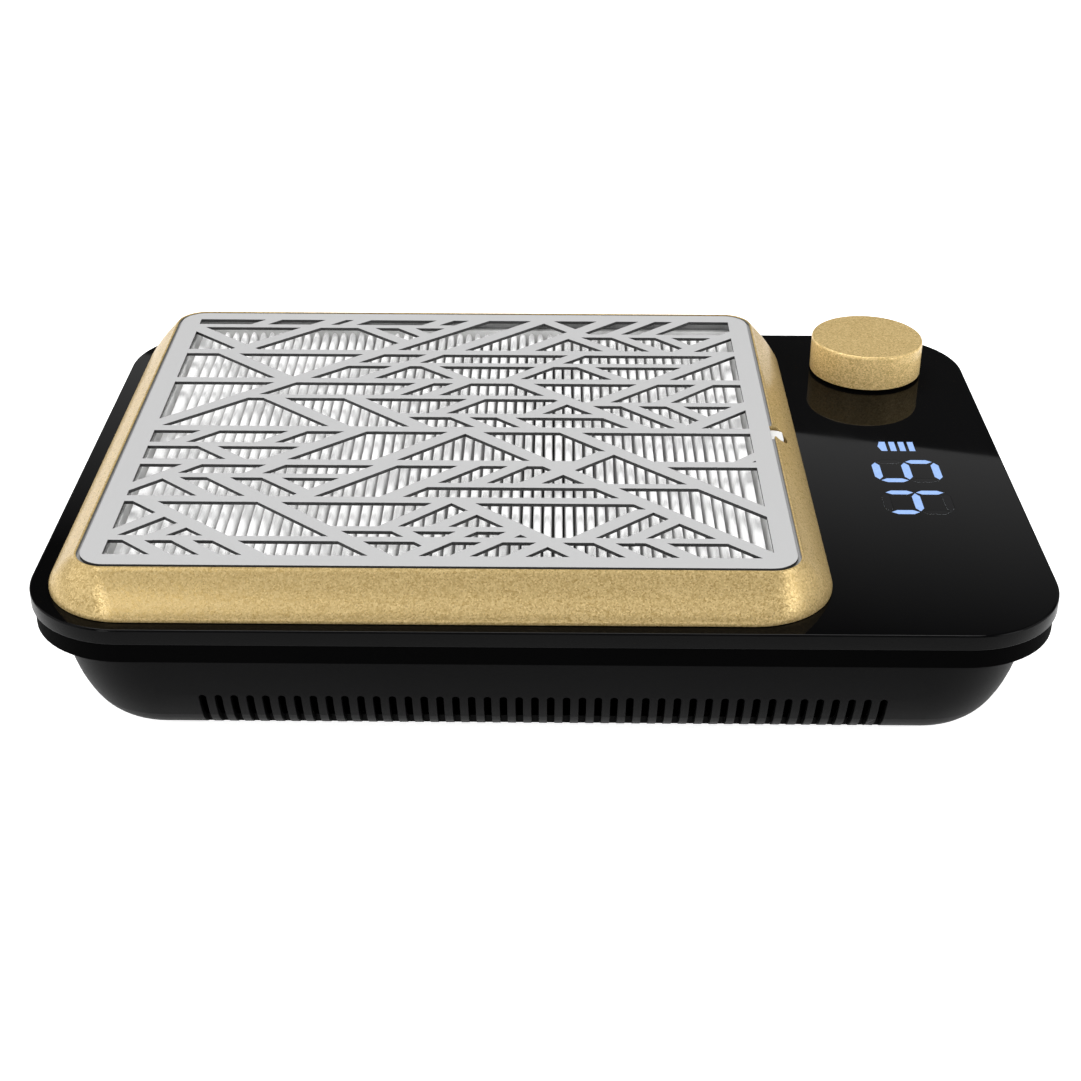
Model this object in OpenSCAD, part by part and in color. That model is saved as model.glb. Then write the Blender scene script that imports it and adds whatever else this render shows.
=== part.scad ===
// Nail dust collector: a low black case with a glossy deck, a sloped frame round a lift-out
// grille, a pleated filter cassette, a flat radial fan, a battery pack, a dead-front display
// and one speed knob. Millimetres, +Z up; it rests on its feet at Z = 0, the front faces -Y
// and the knob is at the back right.

/* [Case] */
// Width of the deck panel, left to right
deck_w = 340; // [320:1:360]
// Depth of the deck panel, front to back
deck_d = 240; // [230:1:260]
// Height of the deck surface above the table
deck_z = 52; // [50:1:56]
// Corner radius of the deck panel
deck_r = 35; // [28:1:40]
// Thickness of the deck panel
panel_t = 5.5; // [4:0.5:7]
// Height of the recessed band under the deck panel
band_h = 7; // [6:0.5:8]
// Distance of the band in from the edge of the panel
band_inset = 1; // [0.5:0.1:3]
// Distance of the case in from the left and right edges of the panel
case_inset_x = 9.4; // [6:0.1:10]
// Distance of the case in from the front and back edges of the panel
case_inset_y = 2.1; // [2:0.1:3]
// Corner radius of the case under the band
case_r = 35; // [30:0.5:36]
// Distance the sides of the case curve in under it
bowl_run = 24; // [22:0.5:30]
// Radius of the tighter curve where a side meets the floor
bowl_low_r = 20; // [10:0.5:21]
// Wall thickness of the case
wall = 2.5; // [2:0.1:3]
// Height of the case floor above the table
foot_h = 4; // [3:0.5:5]
// Radius of a foot
foot_r = 8; // [6:0.5:9]

/* [Vents] */
// Number of outlet slots in each row
vent_count = 44; // [30:1:44]
// Spacing of the outlet slots
vent_pitch = 5.15; // [5:0.05:5.4]
// Width of an outlet slot
vent_w = 2.5; // [2:0.1:3]
// Height of an outlet slot above the table at its top end
vent_top = 25; // [20:0.5:27]
// Distance the outlet slots stop short of the flat floor
vent_stop = 9; // [5:0.5:14]

/* [Grille] */
// Sideways position of the middle of the filter bay
bay_x = -34; // [-36:0.5:-32]
// Width of the grille
grille_w = 232; // [230:1:234]
// Depth of the grille
grille_d = 208; // [206:1:210]
// Thickness of the grille
grille_t = 1.2; // [1:0.1:2.5]
// Corner radius of the grille
grille_r = 9; // [7:0.5:10]
// Gap round the grille
grille_gap = 1.2; // [0.8:0.1:1.5]
// Width of the patterned window in the grille
window_w = 217; // [210:1:218]
// Depth of the patterned window in the grille
window_d = 195; // [190:1:196]
// Width of a long slanted bar
main_bar = 5.4; // [4:0.1:6]
// Width of a short slanted bar
fine_bar = 4.6; // [3:0.1:5]
// Width of a full-width cross bar
broad_row = 4.2; // [3:0.1:5]
// Width of a part-width cross bar
thin_row = 3.2; // [2.5:0.1:4]

/* [Gold frame] */
// Height of the frame above the deck
frame_h = 15; // [12:0.5:18]
// Width of the frame at the deck
frame_w = 258; // [250:1:262]
// Depth of the frame at the deck
frame_d = 231; // [226:1:236]
// Corner radius of the frame at the deck
frame_r = 28; // [20:1:30]
// Height of the upright lip at the foot of the slope
frame_lip = 2; // [1:0.5:4]
// Width of the flat rim at the top of the slope
frame_rim = 0.8; // [0.5:0.1:2]
// Radius of the finger notch in the right side
notch_r = 5.5; // [4:0.5:7]
// Front-to-back position of the finger notch
notch_y = -3; // [-20:1:20]
// Clear height for a fingernail between the cassette's tab and the plate
nail_gap = 1.4; // [1:0.1:3]

/* [Filter] */
// Width of the filter cassette
filter_w = 222; // [220:1:223]
// Depth of the filter cassette
filter_d = 198; // [196:1:199]
// Height of the filter cassette
filter_h = 25; // [20:1:26]
// Wall thickness of the filter cassette
filter_wall = 2; // [1.5:0.1:3]
// Pleat spacing
pleat_pitch = 3.7; // [3:0.1:6]
// Pleat height
pleat_h = 22; // [12:0.5:22.5]
// Thickness of the pleated paper
paper_t = 0.5; // [0.3:0.1:0.8]
// Thickness of the foam seal under the cassette
seal_t = 2; // [1:0.5:3]

/* [Fan] */
// Radius of the impeller
fan_r = 72; // [60:1:74]
// Radius of the air inlet in the tray
inlet_r = 54; // [45:1:56]
// Number of impeller blades
blade_count = 11; // [7:1:15]
// Blade thickness
blade_t = 1.6; // [1.2:0.1:2.5]
// Radius of the curve of a blade
blade_curve = 46; // [40:1:60]
// Radius of the motor shaft
shaft_r = 2; // [1.5:0.1:3]
// Radial running clearance of shafts in their bearings
run_gap = 0.05; // [0.02:0.01:0.09]
// Outer radius of the motor can
can_r = 21; // [18:0.5:24]

/* [Controls] */
// Sideways position of the knob
knob_x = 130; // [126:0.5:134]
// Front-to-back position of the knob
knob_y = 84; // [80:0.5:88]
// Radius of the knob
knob_r = 22.25; // [18:0.25:24]
// Height of the top of the knob above the deck
knob_h = 15; // [10:0.5:18]
// Gap under the knob
knob_gap = 1; // [0.5:0.1:2]
// Rounding of the top edge of the knob
knob_round = 2.2; // [1:0.1:4]
// Radius of the speed control shaft
pot_shaft_r = 3; // [2.5:0.1:3.5]
// Sideways position of the middle of the display
disp_x = 133; // [130:0.5:136]
// Height of a digit
digit_h = 25; // [20:0.5:26]
// Width of a digit
digit_w = 18; // [14:0.5:19]
// Width of a display bar
seg_w = 3.2; // [2:0.1:4]

/* [Battery] */
// Radius of a battery cell
cell_r = 9.25; // [9:0.05:9.3]
// Length of a battery cell
cell_l = 65; // [65:0.5:66]
// Spacing of the battery cells
cell_pitch = 19.5; // [19:0.1:20]

/* [Hidden] */
$fn = 48;
fn_small = 24;
fn_large = 96;
// overlap of joined shapes, and how far a cutter runs past the face it cuts
eps = 0.01;
over = 1;
panel_z = deck_z - panel_t;
band_z = panel_z - band_h;
web_t = 3;
web_z = panel_z - web_t;
floor_z = foot_h + wall;
case_w = deck_w - 2 * case_inset_x;
case_d = deck_d - 2 * case_inset_y;
// the wide upper curve starts upright at the band and runs on into the tighter low curve
bowl_h = band_z - foot_h;
bowl_rise = bowl_h - bowl_low_r;
bowl_r = (bowl_run * bowl_run + bowl_rise * bowl_rise - bowl_low_r * bowl_low_r)
    / (2 * (bowl_run - bowl_low_r));
bowl_centre = [case_r - bowl_r, band_z];
low_centre = [case_r - bowl_run, foot_h + bowl_low_r];
vent_cut = 60;
band_w = deck_w - 2 * band_inset;
band_d = deck_d - 2 * band_inset;
band_r = deck_r - band_inset;
band_wall = 3;
under_t = 1.2;
skirt_gap = 0.5;
skirt_h = 3;
skirt_t = 1.5;
bulkhead_t = 2;
bulkhead_top = 32;
panel_chamfer = 1;
panel_break = 0.4;
frame_top = deck_z + frame_h;
open_w = grille_w + 2 * grille_gap;
open_d = grille_d + 2 * grille_gap;
open_r = grille_r + grille_gap;
rim_w = open_w + 2 * frame_rim;
rim_d = open_d + 2 * frame_rim;
rim_r = open_r + frame_rim;
grille_z = frame_top - grille_t;
shaft_gap = 1;
edge_zone = 3;
edge_lap = 6;
bar_lap = 1.2;
bay_w = filter_w + 2 * shaft_gap;
bay_d = filter_d + 2 * shaft_gap;
bay_r = 6;
tray_floor_z = 33.5;
tray_floor_t = 2.5;
tray_wall = 2.5;
guard_w = 2;
flange_w = 7;
flange_t = 2.5;
seal_z = tray_floor_z + tray_floor_t;
seal_w = 7;
filter_z = seal_z + seal_t;
filter_r = bay_r - shaft_gap;
paper_z = filter_z + 2;
paper_gap = 0.5;
cassette_floor = 1.5;
cassette_ledge = 6;
notch_x = bay_x + open_w / 2;
tab_gap = 0.5;
tab_r = notch_r - tab_gap;
tab_lap = 1.5;
tab_z = filter_z + filter_h - tab_lap;
tab_t = grille_z - nail_gap - tab_z;
// fan stack, from the floor up
motor_base_t = 2;
can_z = 11;
can_h = 13;
can_wall = 1.5;
magnet_t = 1.5;
air_gap = 0.6;
glue_gap = 0.02;
fit_r = 0.05;
stator_h = 7;
stator_lift = 1.5;
pole_count = 9;
pole_w = 3.2;
pole_tip_w = 6.8;
pole_tip_t = 1.4;
tube_r = 6;
tube_h = 15;
bearing_r = 4.5;
bearing_h = 4;
low_bearing_z = floor_z + 2.5;
high_bearing_z = floor_z + 11;
shaft_z = floor_z + motor_base_t + 0.5;
disc_t = 1.5;
blade_z = can_z + disc_t;
shroud_z = 28.5;
shroud_t = 1.5;
hub_wall = 2;
hub_top_t = 2;
blade_root = can_r + hub_wall + 12;
blade_trim = 0.5;
blade_turn = 10;
// knob stack
knob_z = deck_z + knob_gap;
knob_top = deck_z + knob_h;
pot_w = 17;
pot_h = 7;
bush_r = 4.5;
nut_r = 6.5;
nut_h = 2.4;
nut_room = 1.5;
washer_t = 0.8;
bush_h = 8;
bush_gap = 0.15;
knob_wall = 2;
knob_boss_r = 6;
knob_bore_top = knob_top - 2.5;
shaft_end = knob_top - 3;
// display
disp_y = -9;
digit_pitch = 24.3;
tens_y = -30.5;
units_y = tens_y + digit_pitch;
icon_y = 14;
icon_l = 14;
icon_w = 7.6;
icon_tip = 1.4;
icon_shift = 0.2;
bar_gap = 0.9;
fit_gap = 0.1;
guide_w = 40;
guide_d = 64;
guide_t = 2;
guide_gap = 0.1;
guide_fit = 0.3;
board_t = 1.6;
board_w = 44;
board_d = 76;
board_z = 40.4;
led_h = 1.2;
led_l = 3.2;
led_w = 1.6;
// battery and power board
cell_x = 112;
cell_z = 17;
cell_y = -45.5;
holder_w = 42;
holder_end = 3;
holder_h = 11;
cell_gap = 0.1;
link_w = 5;
link_t = 0.3;
power_x = 112;
power_y = 32;
power_w = 44;
power_d = 42;
power_z = 12;
plug_w = 8;
plug_t = 5;
plug_h = 6;
inlet_x = 118;
inlet_z = 22.5;
inlet_w = 9;
inlet_h = 11;
inlet_l = 13;
inlet_y = 112.5;
inlet_fit = 0.2;
socket_r = 3.2;
socket_pin_r = 1;
socket_l = 10;
bulkhead_x = 83.8;
lead_slot_w = 12;
lead_slot_h = 6;
// fasteners
screw_r = 1.5;
pilot_r = 1.55;
clear_r = 1.8;
head_r = 2.8;
head_h = 1.8;
sink_r = 3.3;
post_r = 4.2;
post_split = 27;
post_floor = 3;
stud_r = 2.6;
power_post_r = 3;
foot_seat = 0.5;
foot_fit = 0.1;
motor_seat = foot_h + 1.2;
motor_screw_l = 3.2;
case_screw_l = 10;
tray_screw_l = 4.5;
display_screw_l = 4.6;
power_screw_l = 5.6;
slot_w = 0.8;
slot_deep = 0.9;
slot_share = 0.6;
left_posts = [[-124, 82], [-124, -82]];
right_posts = [[124, -86.5], [104, 62]];
foot_spots = [[-122, -64], [122, -64], [-122, 64], [122, 64]];
motor_spots = [0, 120, 240];
motor_spot_r = 16;
tray_spots = [
    [bay_x - 118, 60], [bay_x - 118, -60], [bay_x + 118, 60], [bay_x + 118, -60],
    [bay_x - 60, 106], [bay_x + 60, 106], [bay_x - 60, -106], [bay_x + 60, -106]
];
board_spots = [[-19, -35], [19, -35], [-19, 35], [19, 35]];
power_spots = [[-19, -18], [19, -18], [-19, 18], [19, 18]];
magnet_r = 2;
grille_magnet_t = 1.5;
magnet_spots = [
    [bay_x - 114.5, 50], [bay_x - 114.5, -50], [bay_x + 114.5, 50], [bay_x + 114.5, -50]
];
lead_r = 1.2;
lead_gap = 0.1;
wire_fn = 16;
// Grille pattern. Every bar is [across, up, across, up] of its two ends, measured from the
// front left corner of the window; a cross bar is [up, from, to].
broad_rows = [
    [162.5, 0, 217], [135.4, 0, 217], [93, 0, 217], [66, 0, 153], [66, 180, 217], [38.3, 0, 177]
];
thin_rows = [
    [188.4, 0, 106.5], [180, 152.5, 212], [150.7, 62, 203], [120.8, 26, 148.5], [115.3, 154, 217],
    [104.9, 88, 166.5], [79.8, 0, 58], [55.6, 9, 77], [49.3, 98, 199], [18, 72, 133], [11, 0, 206]
];
main_climbs = [
    [0, 97, 114, 194.5], [19, 163, 55.5, 195], [103, 162, 139, 194], [131, 162, 166, 194],
    [183, 135, 213, 161], [195, 163, 216.5, 181.5], [192, 92, 216.5, 114], [44, 65.5, 73.5, 91],
    [57, 38, 86, 63.5], [83.5, 65.8, 110.5, 90.5], [160.5, 115, 181, 133], [153.5, 11, 176.5, 31.7],
    [88, 38.5, 116, 64], [135, 49, 165, 75.2]
];
main_falls = [
    [114.5, 92, 216.5, 0.5], [150.5, 92, 216.5, 32], [28, 55, 91, -1], [69.5, 120, 99, 93],
    [39, 120, 69, 93.5], [134, 133, 179.5, 93], [5, 38, 50.5, -1], [113, 38, 156, -1],
    [17, 160, 42.5, 137], [0, 186, 24.5, 163.8]
];
fine_climbs = [
    [22.5, 188, 29.5, 194.5], [58.5, 188, 66, 194.5], [92.5, 188, 100, 194.5],
    [167.5, 180, 182, 193.5], [181.5, 180, 196, 193.5], [72, 137, 98, 160], [128, 136.5, 154, 160],
    [81.5, 120.4, 97.2, 134.4], [96, 120, 109.5, 132.5], [184, 115, 204.5, 134.4],
    [100.5, 105, 115.5, 118.5], [135, 104, 151, 118.5], [7.5, 79.5, 20.5, 91],
    [39.5, 79.5, 52.5, 91], [0, 47, 19, 64.5], [38, 55, 48, 64], [117, 49, 133, 64],
    [88.7, 17.7, 108, 36.5], [105.2, 17.6, 118.5, 30], [97.5, -1, 117.5, 17], [114, -1, 133.5, 16.5],
    [132, -1, 143, 9], [169.5, 10, 187, 25.5], [0, 13.5, 15, 28], [12, 10, 23, 20],
    [209, 65, 216.5, 72]
];
fine_falls = [
    [67.5, 188, 86, 172], [84, 188, 94.5, 178.5], [142, 195, 156, 182], [153, 178.3, 171, 162.5],
    [172, 178.5, 188, 163.5], [189, 179, 199, 169], [96, 150, 111, 137], [157, 150, 173, 136],
    [173, 114.5, 195.5, 93.2], [190, 114.5, 201, 103], [127, 104, 139.5, 92.5],
    [110, 104, 122.5, 93], [20, 79.5, 35.5, 66], [11, 55, 30, 38], [46.5, 55, 60.5, 43],
    [95, 17, 105.5, 7.5], [7.5, 10, 20, -1], [23.5, 10, 36, -1], [161.5, 10, 173.5, -1],
    [178.5, 10, 191, -1]
];

// ---- plan shapes and swept blocks ----

module plan(w, d, r) {
    square([w - 2 * r, d], center = true);
    square([w, d - 2 * r], center = true);
    for (sx = [-1, 1], sy = [-1, 1])
        translate([sx * (w / 2 - r), sy * (d / 2 - r)])
            circle(r);
}

module slab(w, d, r, z, h) {
    translate([0, 0, z])
        linear_extrude(h)
            plan(w, d, r);
}

// Sweeps a wall profile round a rounded rectangle; x in the profile runs outward from the
// centre of the corner, and the middle is filled between z and z + h.
module swept(w, d, r, z, h) {
    a = w / 2 - r;
    b = d / 2 - r;
    translate([-a, -b, z])
        cube([2 * a, 2 * b, h]);
    for (q = [[a, b, 0], [-a, b, 90], [-a, -b, 180], [a, -b, 270]])
        translate([q[0], q[1], 0])
            rotate([0, 0, q[2]])
                rotate_extrude(angle = 90)
                    children();
    for (s = [[a, 0, 0, b], [0, b, 90, a], [-a, 0, 180, b], [0, -b, 270, a]])
        translate([s[0], s[1], 0])
            rotate([0, 0, s[2]])
                rotate([90, 0, 0])
                    linear_extrude(2 * s[3], center = true)
                        children();
}

module bowl_profile(inward, z_low, z_high) {
    reach = case_r - inward;
    meet = bowl_centre + 2 * (low_centre - bowl_centre) * bowl_r / (bowl_r - bowl_low_r);
    intersection() {
        translate([0, z_low])
            square([reach, z_high - z_low]);
        union() {
            intersection() {
                translate(bowl_centre)
                    circle(bowl_r - inward, $fn = fn_large);
                polygon([bowl_centre, meet, [deck_w, band_z], [deck_w, deck_w], [bowl_centre[0], deck_w]]);
            }
            translate(low_centre)
                circle(bowl_low_r - inward, $fn = fn_large);
            translate([0, foot_h + inward])
                square([low_centre[0], bowl_h]);
            translate([0, band_z])
                square([reach, z_high - band_z + over]);
        }
    }
}

module tube(x, y, z, h, r_out, r_in) {
    translate([x, y, z])
        difference() {
            cylinder(h = h, r = r_out);
            translate([0, 0, -over])
                cylinder(h = h + 2 * over, r = r_in);
        }
}

module at(p, z) {
    translate([p[0], p[1], z])
        children();
}

module about(x, y, t) {
    translate([x, y, 0])
        rotate([0, 0, t])
            children();
}

// A pan-head screw, head down, with its head seat at z
module screw(x, y, z, l) {
    translate([x, y, z])
        cylinder(h = l, r = screw_r, $fn = fn_small);
    translate([x, y, z - head_h])
        difference() {
            cylinder(h = head_h, r = head_r);
            for (t = [0, 90])
                rotate([0, 0, t])
                    translate([-head_r * slot_share, -slot_w / 2, -eps])
                        cube([2 * head_r * slot_share, slot_w, slot_deep]);
        }
}

// A wire with straight runs and round elbows
module wire(path) {
    for (i = [0 : len(path) - 2]) {
        v = path[i + 1] - path[i];
        l = norm(v);
        translate(path[i])
            rotate([0, acos(v[2] / l), atan2(v[1], v[0])])
                cylinder(h = l, r = lead_r, $fn = wire_fn);
    }
    for (i = [1 : len(path) - 2])
        translate(path[i])
            sphere(lead_r, $fn = wire_fn);
}

// ---- case ----

module vent_row(side) {
    edge = case_d / 2 - bowl_run + vent_stop;
    y0 = side > 0 ? edge : -edge - vent_cut;
    slot_r = vent_w / 2;
    for (i = [0 : vent_count - 1])
        translate([(i - (vent_count - 1) / 2) * vent_pitch, y0, 0]) {
            translate([-slot_r, 0, foot_h - over])
                cube([vent_w, vent_cut, vent_top - foot_h + over - slot_r]);
            translate([0, 0, vent_top - slot_r])
                rotate([-90, 0, 0])
                    cylinder(h = vent_cut, r = slot_r, $fn = fn_small);
        }
}

module case_shell() {
    difference() {
        swept(case_w, case_d, case_r, foot_h, band_z - foot_h)
            bowl_profile(0, foot_h, band_z);
        difference() {
            swept(case_w, case_d, case_r, floor_z, band_z + over - floor_z)
                bowl_profile(wall, floor_z, band_z + over);
            translate([bulkhead_x, -case_d / 2, 0])
                cube([bulkhead_t, case_d, bulkhead_top]);
        }
    }
}

module case_posts() {
    for (p = concat(left_posts, right_posts))
        at(p, floor_z - eps)
            cylinder(h = post_split - floor_z + eps, r = post_r);
    for (p = power_spots)
        translate([power_x, power_y, 0])
            at(p, floor_z - eps)
                cylinder(h = power_z - floor_z + eps, r = power_post_r);
}

module case_holes() {
    for (p = concat(left_posts, right_posts)) {
        at(p, foot_h - over)
            cylinder(h = post_split, r = clear_r);
        at(p, foot_h - over)
            cylinder(h = post_split - foot_h - post_floor, r = sink_r);
    }
    for (p = power_spots)
        translate([power_x, power_y, 0])
            at(p, floor_z - over)
                cylinder(h = power_z, r = pilot_r, $fn = fn_small);
    for (t = motor_spots)
        about(bay_x, 0, t)
            translate([motor_spot_r, 0, foot_h - over]) {
                cylinder(h = 2 * wall + over, r = clear_r, $fn = fn_small);
                cylinder(h = motor_seat - foot_h + over, r = sink_r);
            }
    for (p = foot_spots)
        at(p, foot_h - over)
            cylinder(h = foot_seat + over, r = foot_r + foot_fit);
}

module case_openings() {
    inlet_hole_w = inlet_w + 2 * inlet_fit;
    inlet_hole_h = inlet_h + 2 * inlet_fit;
    translate([inlet_x - inlet_hole_w / 2, inlet_y - inlet_l + over, inlet_z - inlet_hole_h / 2])
        cube([inlet_hole_w, deck_d, inlet_hole_h]);
    translate([bulkhead_x - over, -lead_slot_w / 2, floor_z + over])
        cube([bulkhead_t + 2 * over, lead_slot_w, lead_slot_h]);
}

module case_base() {
    color([0.03, 0.03, 0.035])
    difference() {
        union() {
            case_shell();
            case_posts();
        }
        vent_row(1);
        vent_row(-1);
        case_holes();
        case_openings();
    }
}

module frame_ring() {
    inner_w = band_w - 2 * band_wall;
    inner_d = band_d - 2 * band_wall;
    inner_r = band_r - band_wall;
    skirt_in = wall + skirt_gap;
    skirt_out = skirt_in + skirt_t;
    difference() {
        slab(band_w, band_d, band_r, band_z, band_h);
        slab(inner_w, inner_d, inner_r, band_z - over, web_z - band_z + over);
    }
    difference() {
        union() {
            slab(band_w - over, band_d - over, band_r - over / 2, band_z, under_t);
            slab(case_w - 2 * skirt_in, case_d - 2 * skirt_in, case_r - skirt_in,
                 band_z - skirt_h, skirt_h + under_t);
        }
        slab(case_w - 2 * skirt_out, case_d - 2 * skirt_out, case_r - skirt_out,
             band_z - skirt_h - over, skirt_h + under_t + 2 * over);
    }
}

module upper_frame() {
    color([0.025, 0.025, 0.03])
    difference() {
        union() {
            frame_ring();
            for (p = right_posts)
                at(p, post_split)
                    cylinder(h = web_z - post_split + eps, r = post_r);
            for (p = board_spots)
                translate([disp_x, disp_y, 0])
                    at(p, board_z + board_t)
                        cylinder(h = web_z - board_z - board_t + eps, r = stud_r);
        }
        translate([bay_x, 0, 0])
            slab(bay_w, bay_d, bay_r, web_z - over, web_t + 2 * over);
        for (p = right_posts)
            at(p, post_split - over)
                cylinder(h = case_screw_l + over, r = pilot_r, $fn = fn_small);
        for (p = tray_spots)
            at(p, web_z - over)
                cylinder(h = tray_screw_l - flange_t + over + fit_gap, r = pilot_r, $fn = fn_small);
        for (p = board_spots)
            translate([disp_x, disp_y, 0])
                at(p, board_z)
                    cylinder(h = display_screw_l + fit_gap, r = pilot_r, $fn = fn_small);
        translate([disp_x - guide_w / 2 - guide_fit, disp_y - guide_d / 2 - guide_fit, web_z - over])
            cube([guide_w + 2 * guide_fit, guide_d + 2 * guide_fit, web_t + 2 * over]);
        translate([knob_x, knob_y, web_z - over])
            cylinder(h = web_t + 2 * over, r = bush_r + bush_gap);
    }
}

// ---- display bars, drawn for a reader standing at the right-hand side ----

module seg_bar(l, grow) {
    h = l / 2;
    t = seg_w / 2;
    polygon([
        [-h - grow, 0], [-h + t, t + grow], [h - t, t + grow],
        [h + grow, 0], [h - t, -t - grow], [-h + t, -t - grow]
    ]);
}

// The seven bars of one digit; the reader's up is -X and the reader's right is +Y
module digit(y, grow) {
    tall = digit_h / 2 - seg_w / 2 - bar_gap / 2;
    wide = digit_w - seg_w - bar_gap;
    mid = (digit_h - seg_w) / 2;
    side = (digit_w - seg_w) / 2;
    for (v = [-mid, 0, mid])
        translate([disp_x + v, y])
            rotate(90)
                seg_bar(wide, grow);
    for (v = [-mid / 2, mid / 2], u = [-side, side])
        translate([disp_x + v, y + u])
            seg_bar(tall, grow);
}

// Four blocks in a row, the first one narrowed to a battery's terminal end
module battery_icon(grow) {
    step = icon_l / 4;
    start = disp_x - icon_l / 2 + icon_shift;
    half = icon_w / 2 + grow;
    for (i = [1 : 3])
        translate([start + i * step - grow, icon_y - half])
            square([step - bar_gap + 2 * grow, 2 * half]);
    tip = start - icon_tip;
    root = start + step - bar_gap + grow;
    polygon([
        [tip - grow, icon_y], [tip + icon_tip, icon_y - half], [root, icon_y - half],
        [root, icon_y + half], [tip + icon_tip, icon_y + half]
    ]);
}

module display_marks(grow) {
    digit(tens_y, grow);
    digit(units_y, grow);
    battery_icon(grow);
}

module deck_panel() {
    color([0.02, 0.02, 0.022])
    difference() {
        swept(deck_w, deck_d, deck_r, panel_z, panel_t)
            polygon([
                [0, panel_z], [deck_r - panel_break, panel_z], [deck_r, panel_z + panel_break],
                [deck_r, deck_z - panel_chamfer], [deck_r - panel_chamfer, deck_z], [0, deck_z]
            ]);
        translate([bay_x, 0, 0])
            slab(bay_w, bay_d, bay_r, panel_z - over, panel_t + 2 * over);
        translate([0, 0, panel_z - over])
            linear_extrude(panel_t + 2 * over)
                display_marks(fit_gap);
        translate([knob_x, knob_y, panel_z - over])
            cylinder(h = panel_t + 2 * over, r = nut_r + nut_room);
    }
}

module frame_skin() {
    hull() {
        slab(frame_w, frame_d, frame_r, deck_z, frame_lip);
        slab(rim_w, rim_d, rim_r, frame_top - fit_gap, fit_gap);
    }
}

module gold_frame() {
    color([0.74, 0.63, 0.42])
    difference() {
        translate([bay_x, 0, 0])
            frame_skin();
        translate([bay_x, 0, 0]) {
            slab(open_w, open_d, open_r, grille_z, grille_t + over);
            slab(bay_w, bay_d, bay_r, deck_z - over, frame_h + 2 * over);
        }
        translate([notch_x, notch_y, tab_z - over])
            cylinder(h = frame_h, r = notch_r);
        for (p = magnet_spots)
            at(p, grille_z - grille_magnet_t)
                cylinder(h = grille_magnet_t + over, r = magnet_r + fit_r, $fn = fn_small);
    }
}

// ---- grille ----

// How far a slanted bar runs on past its end: into a cross bar, or through the window's edge
function lap_at(x, y) =
    x < edge_zone || x > window_w - edge_zone || y < edge_zone || y > window_d - edge_zone
    ? edge_lap : bar_lap;

// A slanted bar whose ends are cut parallel to the cross bars
module bar2d(b, w) {
    v = [b[2] - b[0], b[3] - b[1]];
    along = v / norm(v);
    side = w / 2 / abs(along[1]);
    from = [b[0], b[1]] - lap_at(b[0], b[1]) * along;
    to = [b[2], b[3]] + lap_at(b[2], b[3]) * along;
    polygon([
        [from[0] - side, from[1]], [from[0] + side, from[1]], [to[0] + side, to[1]],
        [to[0] - side, to[1]]
    ]);
}

module row2d(r, w) {
    translate([r[1], r[0] - w / 2])
        square([r[2] - r[1], w]);
}

module grille_pattern() {
    for (r = broad_rows)
        row2d(r, broad_row);
    for (r = thin_rows)
        row2d(r, thin_row);
    for (b = concat(main_climbs, main_falls))
        bar2d(b, main_bar);
    for (b = concat(fine_climbs, fine_falls))
        bar2d(b, fine_bar);
}

module grille() {
    color([0.78, 0.78, 0.8])
    translate([bay_x, 0, grille_z])
        linear_extrude(grille_t) {
            difference() {
                plan(grille_w, grille_d, grille_r);
                square([window_w, window_d], center = true);
            }
            intersection() {
                square([window_w + over, window_d + over], center = true);
                translate([-window_w / 2, -window_d / 2])
                    grille_pattern();
            }
        }
}

module grille_magnets() {
    color([0.7, 0.7, 0.72])
    for (p = magnet_spots)
        at(p, grille_z - grille_magnet_t)
            cylinder(h = grille_magnet_t - fit_r, r = magnet_r, $fn = fn_small);
}

// ---- filter ----

module filter_cassette() {
    inner_w = filter_w - 2 * filter_wall;
    inner_d = filter_d - 2 * filter_wall;
    ledge = 2 * cassette_ledge;
    color([0.93, 0.93, 0.92]) {
        translate([bay_x, 0, 0])
            difference() {
                slab(filter_w, filter_d, filter_r, filter_z, filter_h);
                slab(inner_w, inner_d, filter_r - filter_wall, filter_z + cassette_floor, filter_h);
                slab(inner_w - ledge, inner_d - ledge, filter_wall, filter_z - over, filter_h);
            }
        intersection() {
            translate([notch_x, notch_y, tab_z])
                cylinder(h = tab_t, r = tab_r);
            translate([bay_x + filter_w / 2 - over, notch_y - notch_r, tab_z])
                cube([2 * notch_r, 2 * notch_r, tab_t]);
        }
    }
}

// A folded sheet: each edge of the zig-zag is drawn as a band of the paper's slanted thickness
module filter_paper() {
    room = filter_w - 2 * filter_wall - 2 * paper_gap;
    n = floor(room / pleat_pitch);
    x0 = bay_x - n * pleat_pitch / 2;
    lift = 1.6 * paper_t;
    fold_deep = 4 * lift;
    upper = [
        for (i = [0 : 2 * n])
            [x0 + i * pleat_pitch / 2, paper_z + lift + (i % 2 == 1 ? pleat_h - lift : 0)]
    ];
    lower = [
        for (i = [2 * n : -1 : 0])
            [x0 + i * pleat_pitch / 2, paper_z + (i % 2 == 1 ? pleat_h - fold_deep : 0)]
    ];
    color([0.97, 0.97, 0.97])
    rotate([90, 0, 0])
        linear_extrude(filter_d - 2 * filter_wall - 2 * paper_gap, center = true)
            polygon(concat(upper, lower));
}

module filter_seal() {
    color([0.12, 0.12, 0.12])
    translate([bay_x, 0, 0])
        difference() {
            slab(filter_w, filter_d, filter_r, seal_z, seal_t);
            slab(filter_w - 2 * seal_w, filter_d - 2 * seal_w, filter_wall,
                 seal_z - over, seal_t + 2 * over);
        }
}

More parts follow.
